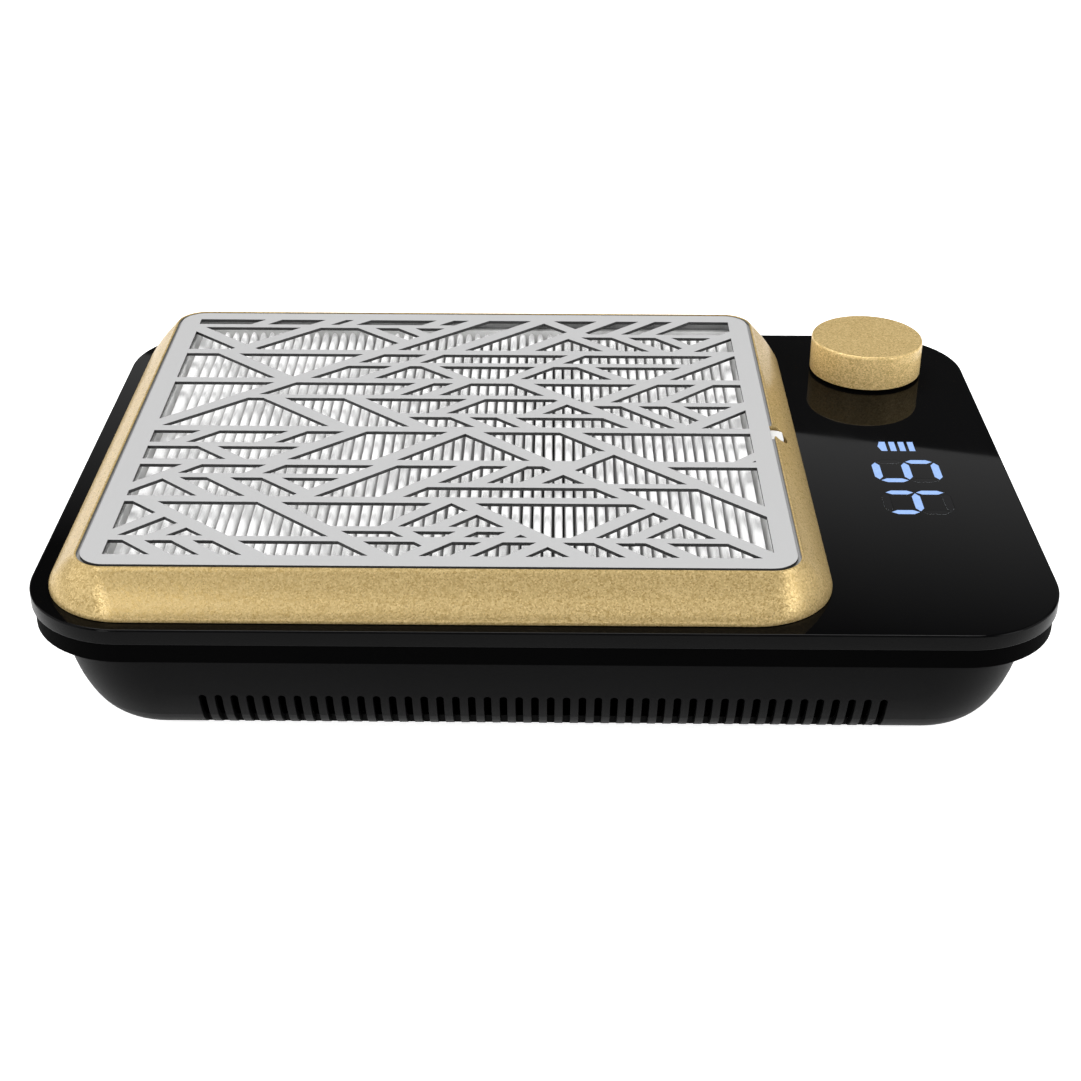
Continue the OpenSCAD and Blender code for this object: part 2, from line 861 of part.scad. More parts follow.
// The guard left across the air inlet: two rings and three spokes
module inlet_guard() {
    for (r = [inlet_r / 3, inlet_r * 2 / 3])
        tube(0, 0, tray_floor_z, tray_floor_t, r + guard_w / 2, r - guard_w / 2);
    for (t = [0 : 60 : 120])
        rotate([0, 0, t])
            translate([-inlet_r - over, -guard_w / 2, tray_floor_z])
                cube([2 * (inlet_r + over), guard_w, tray_floor_t]);
}

module filter_tray() {
    tray_w = bay_w + 2 * tray_wall;
    tray_d = bay_d + 2 * tray_wall;
    tray_r = bay_r + tray_wall;
    throat_z = shroud_z + shroud_t + over;
    color([0.05, 0.05, 0.055])
    difference() {
        union() {
            translate([bay_x, 0, 0]) {
                slab(tray_w, tray_d, tray_r, tray_floor_z, web_z - tray_floor_z);
                slab(tray_w + 2 * flange_w, tray_d + 2 * flange_w, tray_r + flange_w,
                     web_z - flange_t, flange_t);
            }
            for (p = left_posts)
                at(p, post_split)
                    cylinder(h = tray_floor_z - post_split + eps, r = post_r);
            tube(bay_x, 0, throat_z, tray_floor_z - throat_z + eps, inlet_r + guard_w, inlet_r);
        }
        translate([bay_x, 0, 0]) {
            slab(bay_w, bay_d, bay_r, seal_z, filter_h);
            difference() {
                translate([0, 0, shroud_z])
                    cylinder(h = filter_h, r = inlet_r, $fn = fn_large);
                inlet_guard();
            }
        }
        for (p = left_posts)
            at(p, post_split - over)
                cylinder(h = tray_floor_z - post_split + 2 * over, r = pilot_r, $fn = fn_small);
        for (p = tray_spots)
            at(p, web_z - flange_t - over)
                cylinder(h = flange_t + 2 * over, r = clear_r, $fn = fn_small);
    }
}

// ---- fan and motor ----

module blade2d() {
    bow_x = fan_r * 0.62;
    bow_y = -blade_curve * 0.93;
    intersection() {
        difference() {
            circle(fan_r - blade_trim, $fn = fn_large);
            circle(blade_root);
        }
        translate([bow_x, bow_y])
            difference() {
                circle(blade_curve, $fn = fn_large);
                circle(blade_curve - blade_t, $fn = fn_large);
            }
        translate([0, -blade_turn])
            square([fan_r, fan_r]);
    }
}

module impeller() {
    bore_r = can_r + fit_r;
    color([0.1, 0.1, 0.11])
    translate([bay_x, 0, 0]) {
        tube(0, 0, can_z, disc_t, fan_r, bore_r);
        difference() {
            translate([0, 0, can_z])
                cylinder(h = can_h + hub_top_t, r = can_r + hub_wall);
            translate([0, 0, can_z - over])
                cylinder(h = can_h + over, r = bore_r);
            translate([0, 0, can_z])
                cylinder(h = can_h + 2 * hub_top_t, r = bush_r);
        }
        tube(0, 0, shroud_z, shroud_t, fan_r, inlet_r + guard_w + 0.5);
        translate([0, 0, blade_z - eps])
            linear_extrude(shroud_z - blade_z + 2 * eps)
                for (i = [0 : blade_count - 1])
                    rotate(i * 360 / blade_count)
                        blade2d();
    }
}

module rotor_can() {
    skirt = 0.5;
    color([0.6, 0.6, 0.62])
    translate([bay_x, 0, 0])
        difference() {
            translate([0, 0, can_z - skirt])
                cylinder(h = can_h + skirt, r = can_r);
            translate([0, 0, can_z - over])
                cylinder(h = can_h + over - can_wall, r = can_r - can_wall);
            translate([0, 0, can_z])
                cylinder(h = can_h + over, r = shaft_r);
        }
}

module rotor_magnets() {
    color([0.25, 0.25, 0.26])
    tube(bay_x, 0, can_z, can_h - can_wall - over, can_r - can_wall - glue_gap,
         can_r - can_wall - magnet_t);
}

module motor_shaft() {
    color([0.75, 0.75, 0.77])
    translate([bay_x, 0, shaft_z])
        cylinder(h = can_z + can_h + over - shaft_z, r = shaft_r);
}

module motor_base() {
    color([0.55, 0.55, 0.57])
    translate([bay_x, 0, 0])
        difference() {
            union() {
                translate([0, 0, floor_z])
                    cylinder(h = motor_base_t, r = can_r - over);
                translate([0, 0, floor_z])
                    cylinder(h = tube_h, r = tube_r);
            }
            translate([0, 0, floor_z + motor_base_t / 2])
                cylinder(h = tube_h, r = bearing_r + glue_gap);
            for (t = motor_spots)
                rotate([0, 0, t])
                    translate([motor_spot_r, 0, floor_z - over])
                        cylinder(h = motor_base_t + 2 * over, r = pilot_r, $fn = fn_small);
        }
}

module stator() {
    core_r = can_r - can_wall - magnet_t - air_gap;
    ring_r = tube_r + 3;
    arm_in = ring_r - 0.5;
    color([0.72, 0.42, 0.2])
    translate([bay_x, 0, can_z + stator_lift])
        difference() {
            union() {
                cylinder(h = stator_h, r = ring_r);
                for (i = [0 : pole_count - 1])
                    rotate([0, 0, i * 360 / pole_count]) {
                        translate([arm_in, -pole_w / 2, 0.5])
                            cube([core_r - over - arm_in, pole_w, stator_h - 1]);
                        translate([core_r - pole_tip_t - 0.6, -pole_tip_w / 2, 0])
                            cube([pole_tip_t, pole_tip_w, stator_h]);
                    }
            }
            translate([0, 0, -over])
                cylinder(h = stator_h + 2 * over, r = tube_r + glue_gap);
        }
}

module bearings() {
    color([0.8, 0.8, 0.82])
    for (z = [low_bearing_z, high_bearing_z])
        tube(bay_x, 0, z, bearing_h, bearing_r, shaft_r + run_gap);
}

// ---- knob and speed control ----

module speed_knob() {
    color([0.74, 0.62, 0.42])
    translate([knob_x, knob_y, 0])
        difference() {
            rotate_extrude($fn = fn_large)
                union() {
                    translate([0, knob_z])
                        square([knob_r, knob_top - knob_z - knob_round]);
                    translate([0, knob_z])
                        square([knob_r - knob_round, knob_top - knob_z]);
                    translate([knob_r - knob_round, knob_top - knob_round])
                        circle(knob_round);
                }
            difference() {
                translate([0, 0, knob_z - over])
                    cylinder(h = knob_bore_top - knob_z + over, r = knob_r - knob_wall);
                translate([0, 0, knob_z + over])
                    cylinder(h = knob_h, r = knob_boss_r);
            }
            translate([0, 0, knob_z - over])
                cylinder(h = knob_bore_top - knob_z + over, r = pot_shaft_r + glue_gap);
        }
}

module pot_shaft() {
    low = web_z - pot_h + over;
    color([0.8, 0.8, 0.82])
    translate([knob_x, knob_y, low])
        cylinder(h = shaft_end - low, r = pot_shaft_r);
}

module pot_body() {
    color([0.15, 0.3, 0.2])
    translate([knob_x, knob_y, 0])
        difference() {
            union() {
                translate([-pot_w / 2, -pot_w / 2, web_z - pot_h])
                    cube([pot_w, pot_w, pot_h]);
                translate([0, 0, web_z - eps])
                    cylinder(h = bush_h, r = bush_r);
            }
            translate([0, 0, web_z - pot_h + over / 2])
                cylinder(h = pot_h + 2 * bush_h, r = pot_shaft_r + run_gap);
        }
}

module pot_nut() {
    color([0.78, 0.78, 0.8])
    translate([knob_x, knob_y, panel_z])
        difference() {
            union() {
                cylinder(h = washer_t, r = nut_r + washer_t);
                translate([0, 0, washer_t - eps])
                    cylinder(h = nut_h, r = nut_r, $fn = 6);
            }
            translate([0, 0, -over])
                cylinder(h = nut_h + washer_t + 2 * over, r = bush_r + fit_r);
        }
}

// ---- display ----

module display_guide() {
    top = panel_z - guide_gap;
    color([0.8, 0.85, 0.9]) {
        translate([disp_x - guide_w / 2, disp_y - guide_d / 2, top - guide_t])
            cube([guide_w, guide_d, guide_t]);
        translate([0, 0, top - eps])
            linear_extrude(deck_z - top + eps)
                display_marks(0);
    }
}

module display_board() {
    color([0.05, 0.3, 0.15])
    translate([disp_x, disp_y, board_z])
        difference() {
            translate([-board_w / 2, -board_d / 2, 0])
                cube([board_w, board_d, board_t]);
            for (p = board_spots)
                at(p, -over)
                    cylinder(h = board_t + 2 * over, r = clear_r, $fn = fn_small);
        }
}

module led(x, y, l, w) {
    translate([x - l / 2, y - w / 2, board_z + board_t])
        cube([l, w, led_h]);
}

module display_leds() {
    mid = (digit_h - seg_w) / 2;
    side = (digit_w - seg_w) / 2;
    color([0.95, 0.95, 0.85]) {
        for (y = [tens_y, units_y]) {
            for (v = [-mid, 0, mid])
                led(disp_x + v, y, led_w, led_l);
            for (v = [-mid / 2, mid / 2], u = [-side, side])
                led(disp_x + v, y + u, led_l, led_w);
        }
        for (i = [0 : 3])
            led(disp_x - icon_l / 2 + (i + 0.5) * icon_l / 4, icon_y, led_w, led_l);
    }
}

// ---- power ----

module power_board() {
    color([0.05, 0.25, 0.4])
    translate([power_x, power_y, power_z])
        difference() {
            translate([-power_w / 2, -power_d / 2, 0])
                cube([power_w, power_d, board_t]);
            for (p = power_spots)
                at(p, -over)
                    cylinder(h = board_t + 2 * over, r = clear_r, $fn = fn_small);
        }
}

// Two capacitors, a coil, two chips and the four sockets the leads end in
module power_parts() {
    cap_r = 4;
    cap_h = 11;
    edge_x = power_w / 2 - 1.5 - plug_t;
    edge_y = power_d / 2 - 1.5 - plug_t;
    color([0.1, 0.1, 0.1])
    translate([power_x, power_y, power_z + board_t]) {
        for (x = [-12, -3])
            translate([x, 6, 0])
                cylinder(h = cap_h, r = cap_r);
        translate([3.5, 2, 0])
            cube([8, 8, 4]);
        for (x = [-13, -5])
            translate([x, -9, 0])
                cube([5, 5, 1.4]);
        translate([-plug_w / 2, -edge_y - plug_t, 0])
            cube([plug_w, plug_t, plug_h]);
        translate([inlet_x - power_x - plug_w / 2, edge_y, 0])
            cube([plug_w, plug_t, plug_h]);
        translate([-edge_x - plug_t, -plug_w / 2, 0])
            cube([plug_t, plug_w, plug_h]);
        translate([edge_x, -plug_w / 2, 0])
            cube([plug_t, plug_w, plug_h]);
    }
}

module dc_inlet() {
    color([0.08, 0.08, 0.08])
    translate([inlet_x, inlet_y, inlet_z])
        difference() {
            translate([-inlet_w / 2, -inlet_l, -inlet_h / 2])
                cube([inlet_w, inlet_l, inlet_h]);
            rotate([90, 0, 0])
                difference() {
                    translate([0, 0, -eps])
                        cylinder(h = socket_l, r = socket_r);
                    translate([0, 0, -over])
                        cylinder(h = socket_l + 2 * over, r = socket_pin_r);
                }
        }
}

module cells(l, r) {
    for (side = [-1, 1])
        translate([cell_x + side * cell_pitch / 2, cell_y, cell_z])
            rotate([90, 0, 0])
                cylinder(h = l, r = r, center = true);
}

module battery_cells() {
    color([0.15, 0.35, 0.65])
    cells(cell_l, cell_r);
}

module battery_holder() {
    len_y = cell_l + 2 * holder_end + 1;
    color([0.08, 0.08, 0.08])
    difference() {
        translate([cell_x - holder_w / 2, cell_y - len_y / 2, floor_z])
            cube([holder_w, len_y, holder_h]);
        cells(cell_l + 1, cell_r + cell_gap);
    }
}

module cell_links() {
    z = cell_z + 2;
    front = cell_y - cell_l / 2 - fit_r - link_t;
    back = cell_y + cell_l / 2 + fit_r;
    link_l = cell_pitch + link_w;
    color([0.8, 0.8, 0.78]) {
        translate([cell_x - link_l / 2, front, z])
            cube([link_l, link_t, link_w]);
        for (side = [-1, 1])
            translate([cell_x + side * cell_pitch / 2 - link_w / 2, back, z])
                cube([link_w, link_t, link_w]);
    }
}

module feet() {
    color([0.06, 0.06, 0.06])
    for (p = foot_spots)
        at(p, 0)
            cylinder(h = foot_h + foot_seat, r = foot_r);
}

// ---- fasteners ----

module case_screws() {
    color([0.5, 0.5, 0.52])
    for (p = concat(left_posts, right_posts))
        screw(p[0], p[1], post_split - post_floor - over, case_screw_l);
}

module tray_screws() {
    color([0.5, 0.5, 0.52])
    for (p = tray_spots)
        screw(p[0], p[1], web_z - flange_t, tray_screw_l);
}

module motor_screws() {
    color([0.5, 0.5, 0.52])
    for (t = motor_spots)
        about(bay_x, 0, t)
            screw(motor_spot_r, 0, motor_seat, motor_screw_l);
}

module board_screws() {
    color([0.5, 0.5, 0.52]) {
        for (p = board_spots)
            screw(disp_x + p[0], disp_y + p[1], board_z, display_screw_l);
        for (p = power_spots)
            translate([power_x + p[0], power_y + p[1], power_z + board_t])
                mirror([0, 0, 1])
                    screw(0, 0, 0, power_screw_l);
    }
}

// ---- leads ----

module motor_lead() {
    z = floor_z + 2.4;
    x = bulkhead_x + 4;
    plug_z = power_z + board_t + plug_h / 2;
    color([0.6, 0.1, 0.1])
    wire([
        [bay_x + can_r - 0.5, 0, z], [x, 0, z], [x, power_y, z], [x, power_y, plug_z],
        [power_x - power_w / 2 + 1.5 - lead_gap, power_y, plug_z]
    ]);
}

module battery_lead() {
    plug_z = power_z + board_t + plug_h / 2;
    x = cell_x - cell_pitch / 2;
    start = cell_y + cell_l / 2 + link_t + 2 * lead_gap;
    y = start + 9;
    z = cell_z + 2 + link_w / 2;
    color([0.7, 0.1, 0.1])
    wire([
        [x, start, z], [x, y, z], [power_x, y, z], [power_x, y, plug_z],
        [power_x, power_y - power_d / 2 + 1.5 - lead_gap, plug_z]
    ]);
}

module inlet_lead() {
    plug_z = power_z + board_t + plug_h / 2;
    y = (inlet_y - inlet_l + power_y + power_d / 2) / 2;
    color([0.1, 0.1, 0.1])
    wire([
        [inlet_x, inlet_y - inlet_l - lead_gap, inlet_z], [inlet_x, y, inlet_z],
        [inlet_x, y, plug_z], [inlet_x, power_y + power_d / 2 - 1.5 + lead_gap, plug_z]
    ]);
}

module display_lead() {
    plug_z = power_z + board_t + plug_h / 2;
    x = power_x + power_w / 2 - 1.5 + lead_gap;
    far = x + 6;
    y = disp_y + board_d / 2 - 9;
    high = board_z - 10;
    color([0.85, 0.85, 0.85])
    wire([
        [x, power_y, plug_z], [far, power_y, plug_z], [far, power_y, high],
        [far, y, high], [far, y, board_z - lead_gap]
    ]);
}

case_base();
upper_frame();
deck_panel();
gold_frame();
grille();
grille_magnets();
filter_cassette();
filter_paper();
filter_seal();
filter_tray();
impeller();
rotor_can();
rotor_magnets();
motor_shaft();
motor_base();
stator();
bearings();
speed_knob();
pot_shaft();
pot_body();
pot_nut();
display_guide();
display_board();
display_leds();
power_board();
power_parts();
dc_inlet();
battery_cells();
battery_holder();
cell_links();
feet();
case_screws();
tray_screws();
motor_screws();
board_screws();
motor_lead();
battery_lead();
inlet_lead();
display_lead();
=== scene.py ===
"""Nail dust collector: materials, fine geometry, lights and camera around the CAD frame."""
import math
import random

import bmesh
import bpy
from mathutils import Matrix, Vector


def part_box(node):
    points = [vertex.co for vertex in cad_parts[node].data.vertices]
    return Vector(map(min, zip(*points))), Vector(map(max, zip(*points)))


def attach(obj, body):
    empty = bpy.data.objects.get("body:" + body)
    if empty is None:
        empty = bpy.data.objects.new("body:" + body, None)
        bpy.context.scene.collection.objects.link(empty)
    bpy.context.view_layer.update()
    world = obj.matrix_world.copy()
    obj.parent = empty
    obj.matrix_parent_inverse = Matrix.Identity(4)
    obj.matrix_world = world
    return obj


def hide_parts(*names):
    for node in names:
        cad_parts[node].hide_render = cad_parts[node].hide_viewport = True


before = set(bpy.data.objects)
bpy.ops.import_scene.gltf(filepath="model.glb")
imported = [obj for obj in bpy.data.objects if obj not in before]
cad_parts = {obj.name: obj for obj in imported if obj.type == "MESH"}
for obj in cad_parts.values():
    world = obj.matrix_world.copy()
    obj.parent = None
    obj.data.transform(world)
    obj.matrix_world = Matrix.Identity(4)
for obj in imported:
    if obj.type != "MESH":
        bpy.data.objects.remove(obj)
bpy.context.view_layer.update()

MM = 0.001
LEVEL = 0.9999          # a face whose normal stands this upright is level


# ---------------------------------------------------------------- mesh helpers

def box_mm(node):
    """Lowest and highest corner of a CAD node in millimetres."""
    low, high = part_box(node)
    return low / MM, high / MM


def make_object(name, bm, body, node, materials, smooth_angle):
    """Turns a bmesh drawn in millimetres into a piece that rides on a body, in place of a node."""
    bmesh.ops.scale(bm, vec=(MM, MM, MM), verts=bm.verts)
    bmesh.ops.recalc_face_normals(bm, faces=bm.faces)
    mesh = bpy.data.meshes.new(name)
    bm.to_mesh(mesh)
    bm.free()
    for material in materials:
        mesh.materials.append(material)
    obj = bpy.data.objects.new(name, mesh)
    bpy.context.scene.collection.objects.link(obj)
    smooth_by_angle(obj, smooth_angle)
    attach(obj, body)
    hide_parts(node)
    return obj


def smooth_by_angle(obj, degrees):
    """Smooth shading, with level faces flat and every edge sharper than the angle kept hard."""
    limit = math.radians(degrees)
    bm = bmesh.new()
    bm.from_mesh(obj.data)
    for face in bm.faces:
        face.smooth = abs(face.normal.z) < LEVEL
    for edge in bm.edges:
        if len(edge.link_faces) == 2:
            edge.smooth = edge.calc_face_angle(0) < limit
    bm.to_mesh(obj.data)
    bm.free()


def rounded_ring(width, depth, radius, centre, steps):
    """Points of a rounded rectangle, anticlockwise."""
    a = width / 2 - radius
    b = depth / 2 - radius
    points = []
    for sx, sy, start in ((1, 1, 0), (-1, 1, 90), (-1, -1, 180), (1, -1, 270)):
        for i in range(steps + 1):
            t = math.radians(start + 90 * i / steps)
            x = centre[0] + sx * a + radius * math.cos(t)
            y = centre[1] + sy * b + radius * math.sin(t)
            points.append((x, y))
    return points


def circle(centre, radius, steps):
    """Points of a circle, anticlockwise."""
    points = []
    for i in range(steps):
        t = 2 * math.pi * i / steps
        points.append((centre[0] + radius * math.cos(t), centre[1] + radius * math.sin(t)))
    return points


def add_ring(bm, points, z):
    """A closed loop of vertices at height z."""
    return [bm.verts.new((x, y, z)) for x, y in points]


def bridge(bm, lower, upper, material=0):
    """Quads between two loops with the same number of vertices."""
    n = len(lower)
    for i in range(n):
        j = (i + 1) % n
        face = bm.faces.new((lower[i], lower[j], upper[j], upper[i]))
        face.material_index = material


def loft(bm, rings, closed=False, material=0):
    """Bridges a list of loops in order, and the last to the first if closed."""
    for lower, upper in zip(rings, rings[1:]):
        bridge(bm, lower, upper, material)
    if closed:
        bridge(bm, rings[-1], rings[0], material)


def lathe(bm, profile, centre, steps):
    """Turns a closed (radius, z) profile round a vertical axis."""
    loops = [add_ring(bm, circle(centre, radius, steps), z) for radius, z in profile]
    loft(bm, loops, closed=True)


def arc(centre, radius, start, end, steps):
    """(x, y) points along an arc given in degrees."""
    points = []
    for i in range(steps + 1):
        t = math.radians(start + (end - start) * i / steps)
        points.append((centre[0] + radius * math.cos(t), centre[1] + radius * math.sin(t)))
    return points


def add_modifiers(node, bevel, segments=2, material=-1):
    """Merges a CAD node's split vertices, then rounds its edges."""
    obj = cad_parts[node]
    weld = obj.modifiers.new("weld", "WELD")
    weld.merge_threshold = 2e-6
    planar = obj.modifiers.new("planar", "DECIMATE")
    planar.decimate_type = "DISSOLVE"
    planar.angle_limit = math.radians(0.3)
    rounding = obj.modifiers.new("rounding", "BEVEL")
    rounding.width = bevel * MM
    rounding.segments = segments
    rounding.limit_method = "ANGLE"
    rounding.angle_limit = math.radians(40)
    rounding.material = material
    rounding.harden_normals = False


# ---------------------------------------------------------------- material helpers

class Shader:
    """A small builder for node materials, with coordinates in millimetres."""

    def __init__(self, name, **inputs):
        self.material = bpy.data.materials.new(name)
        self.material.use_nodes = True
        self.tree = self.material.node_tree
        self.tree.nodes.clear()
        self.out = self.tree.nodes.new("ShaderNodeOutputMaterial")
        self.bsdf = self.tree.nodes.new("ShaderNodeBsdfPrincipled")
        self.link(self.bsdf.outputs[0], self.out.inputs[0])
        self.set(**inputs)
        coords = self.tree.nodes.new("ShaderNodeTexCoord")
        scale = self.tree.nodes.new("ShaderNodeVectorMath")
        scale.operation = "MULTIPLY"
        scale.inputs[1].default_value = (1 / MM, 1 / MM, 1 / MM)
        self.link(coords.outputs["Object"], scale.inputs[0])
        self.mm = scale.outputs[0]
        self.bump_out = None

    def link(self, a, b):
        self.tree.links.new(a, b)

    def set(self, **inputs):
        """Principled inputs by name, with underscores for spaces."""
        for key, value in inputs.items():
            socket = self.bsdf.inputs[key.replace("_", " ")]
            if hasattr(value, "links"):
                self.link(value, socket)
            elif isinstance(value, (tuple, list)) and len(value) == 3:
                socket.default_value = (*value, 1)
            else:
                socket.default_value = value

    def stretched(self, x, y, z):
        """The millimetre coordinates scaled per axis."""
        node = self.tree.nodes.new("ShaderNodeVectorMath")
        node.operation = "MULTIPLY"
        node.inputs[1].default_value = (x, y, z)
        self.link(self.mm, node.inputs[0])
        return node.outputs[0]

    def noise(self, scale, detail=2.0, rough=0.5, vector=None):
        """Noise with a given number of features per millimetre."""
        node = self.tree.nodes.new("ShaderNodeTexNoise")
        node.inputs["Scale"].default_value = scale
        node.inputs["Detail"].default_value = detail
        node.inputs["Roughness"].default_value = rough
        self.link(vector or self.mm, node.inputs["Vector"])
        return node.outputs["Fac"]

    def cells(self, scale, output="Color", feature="F1"):
        """Voronoi cells, a given number per millimetre."""
        node = self.tree.nodes.new("ShaderNodeTexVoronoi")
        node.feature = feature
        node.inputs["Scale"].default_value = scale
        self.link(self.mm, node.inputs["Vector"])
        return node.outputs[output]

    def span(self, value, low, high, out_low=0.0, out_high=1.0):
        """Maps a value from low..high to out_low..out_high."""
        node = self.tree.nodes.new("ShaderNodeMapRange")
        for key, number in (("From Min", low), ("From Max", high),
                            ("To Min", out_low), ("To Max", out_high)):
            node.inputs[key].default_value = number
        self.link(value, node.inputs["Value"])
        return node.outputs[0]

    def split(self, colour):
        """The three channels of a colour."""
        node = self.tree.nodes.new("ShaderNodeSeparateColor")
        self.link(colour, node.inputs[0])
        return node.outputs

    def vector(self, operation, a, b):
        """Vector arithmetic on sockets, tuples or numbers."""
        node = self.tree.nodes.new("ShaderNodeVectorMath")
        node.operation = operation
        for socket, value in zip(node.inputs, (a, b)):
            if hasattr(value, "links"):
                self.link(value, socket)
            elif value is not None:
                socket.default_value = value
        return node.outputs[0]

    def flake_normal(self, scale, tilt):
        """Tilts the surface a little, differently in every flake."""
        centred = self.vector("SUBTRACT", self.cells(scale), (0.5, 0.5, 0.5))
        lean = self.vector("MULTIPLY", centred, (2 * tilt, 2 * tilt, 2 * tilt))
        normal = self.tree.nodes.new("ShaderNodeNewGeometry").outputs["Normal"]
        tilted = self.vector("NORMALIZE", self.vector("ADD", normal, lean), None)
        self.link(tilted, self.bsdf.inputs["Normal"])

    def mix(self, factor, a, b):
        """Blend by a socket of two colours, each a tuple or a socket."""
        node = self.tree.nodes.new("ShaderNodeMix")
        node.data_type = "RGBA"
        self.link(factor, node.inputs["Factor"])
        for socket, value in ((node.inputs[6], a), (node.inputs[7], b)):
            if hasattr(value, "links"):
                self.link(value, socket)
            else:
                socket.default_value = (*value, 1)
        return node.outputs[2]

    def axis(self, name):
        """One of the millimetre coordinates."""
        node = self.tree.nodes.new("ShaderNodeSeparateXYZ")
        self.link(self.mm, node.inputs[0])
        return node.outputs[name]

    def bump(self, height, depth, strength=1.0):
        """Adds relief of a given depth in millimetres, on top of earlier relief."""
        node = self.tree.nodes.new("ShaderNodeBump")
        node.inputs["Strength"].default_value = strength
        node.inputs["Distance"].default_value = depth * MM
        self.link(height, node.inputs["Height"])
        if self.bump_out:
            self.link(self.bump_out, node.inputs["Normal"])
        self.bump_out = node.outputs[0]
        self.link(self.bump_out, self.bsdf.inputs["Normal"])


# ---------------------------------------------------------------- materials

def gold_paint(name, shade=1.0, metallic=0.3):
    """Champagne paint: fine speckle and flake under a thin clear coat."""
    flakes_per_mm = 2.1
    dark = tuple(shade * c for c in (0.38, 0.26, 0.09))
    middle = tuple(shade * c for c in (0.58, 0.42, 0.18))
    pale = tuple(shade * c for c in (0.80, 0.61, 0.30))
    s = Shader(name, Metallic=metallic, IOR=1.5, Specular_IOR_Level=0.1)
    s.set(Specular_Tint=(0.45, 0.34, 0.17))
    flake = s.split(s.cells(flakes_per_mm))
    speckle = s.noise(2.2, 3, 0.7)
    tone = s.mix(s.span(flake[0], 0, 1), dark, pale)
    s.set(Base_Color=s.mix(s.span(speckle, 0.4, 0.75), tone, middle))
    s.set(Roughness=s.span(flake[1], 0, 1, 0.27, 0.36))
    s.flake_normal(flakes_per_mm, 0.06)
    s.set(Coat_Weight=0.15, Coat_IOR=1.4, Coat_Roughness=0.16)
    return s.material


def silver_face(name):
    """Fine-blasted silver with a faint grain."""
    s = Shader(name, Metallic=0.15, Specular_IOR_Level=0.3)
    grain = s.noise(5, 3, 0.6)
    cloud = s.noise(0.02, 2, 0.5)
    tone = s.mix(s.span(grain, 0.35, 0.65), (0.45, 0.45, 0.45), (0.51, 0.51, 0.51))
    s.set(Base_Color=s.mix(s.span(cloud, 0.3, 0.7, 0, 0.25), tone, (0.465, 0.465, 0.47)))
    s.set(Roughness=s.span(grain, 0.3, 0.7, 0.5, 0.64))
    s.bump(grain, 0.01, 0.5)
    return s.material


def silver_edge_highlight(name):
    """The broken edge of the grille in a brighter silver: a painted highlight along the bevel."""
    s = Shader(name, Metallic=0.3)
    grain = s.noise(9, 2, 0.5)
    s.set(Base_Color=s.mix(grain, (0.52, 0.52, 0.52), (0.62, 0.62, 0.62)))
    s.set(Roughness=s.span(grain, 0.3, 0.7, 0.26, 0.4))
    return s.material


def painted_shade_wall(name, tone):
    """Dark grey metal wall, painted shade, as on the sides of the grille bars and in the gap round it."""
    s = Shader(name, Metallic=0.3, Specular_IOR_Level=0.2)
    streak = s.noise(3, 3, 0.6, s.stretched(1, 1, 0.2))
    s.set(Base_Color=s.mix(streak, (tone * 0.7,) * 3, (tone * 1.5,) * 3))
    s.set(Roughness=s.span(streak, 0.3, 0.7, 0.45, 0.6))
    return s.material


def gloss_black(name):
    """Polished black panel with faint wipe marks."""
    s = Shader(name, IOR=1.15)
    wipe = s.noise(0.03, 5, 0.6, s.stretched(1, 0.35, 1))
    s.set(Base_Color=s.mix(wipe, (0.0016, 0.0016, 0.0017), (0.0028, 0.0028, 0.0030)))
    s.set(Roughness=s.span(wipe, 0.35, 0.7, 0.012, 0.035))
    s.bump(s.noise(0.12, 1, 0.4), 0.002, 0.1)
    return s.material


def satin_black(name, base=0.012, rough=0.42, grain=4.0, gloss=0.2):
    """Spark-eroded black moulding."""
    s = Shader(name, IOR=1.45, Specular_IOR_Level=gloss)
    fine = s.noise(grain, 3, 0.6)
    cloud = s.noise(0.03, 2, 0.5)
    dark = (base, base, base * 1.04)
    pale = (base * 1.4, base * 1.4, base * 1.46)
    s.set(Base_Color=s.mix(cloud, dark, pale))
    s.set(Roughness=s.span(fine, 0.3, 0.7, rough - 0.06, rough + 0.08))
    s.bump(fine, 0.03, 0.5)
    return s.material


def moulding(name, low, high, rough=0.45):
    """Coloured moulding with slight mottling and grain."""
    s = Shader(name)
    fine = s.noise(3, 3, 0.6)
    cloud = s.noise(0.05, 3, 0.5)
    s.set(Base_Color=s.mix(s.span(cloud, 0.3, 0.7), low, high))
    s.set(Roughness=s.span(fine, 0.3, 0.7, rough - 0.07, rough + 0.07))
    s.bump(fine, 0.02, 0.5)
    return s.material


def metal(name, low, high, rough):
    """Metal with fine turning lines."""
    s = Shader(name, Metallic=1.0)
    streak = s.noise(3, 4, 0.6, s.stretched(0.1, 0.1, 1))
    s.set(Base_Color=s.mix(s.span(streak, 0.3, 0.7), low, high))
    s.set(Roughness=s.span(streak, 0.3, 0.7, rough - 0.08, rough + 0.1))
    s.bump(streak, 0.008, 0.5)
    return s.material


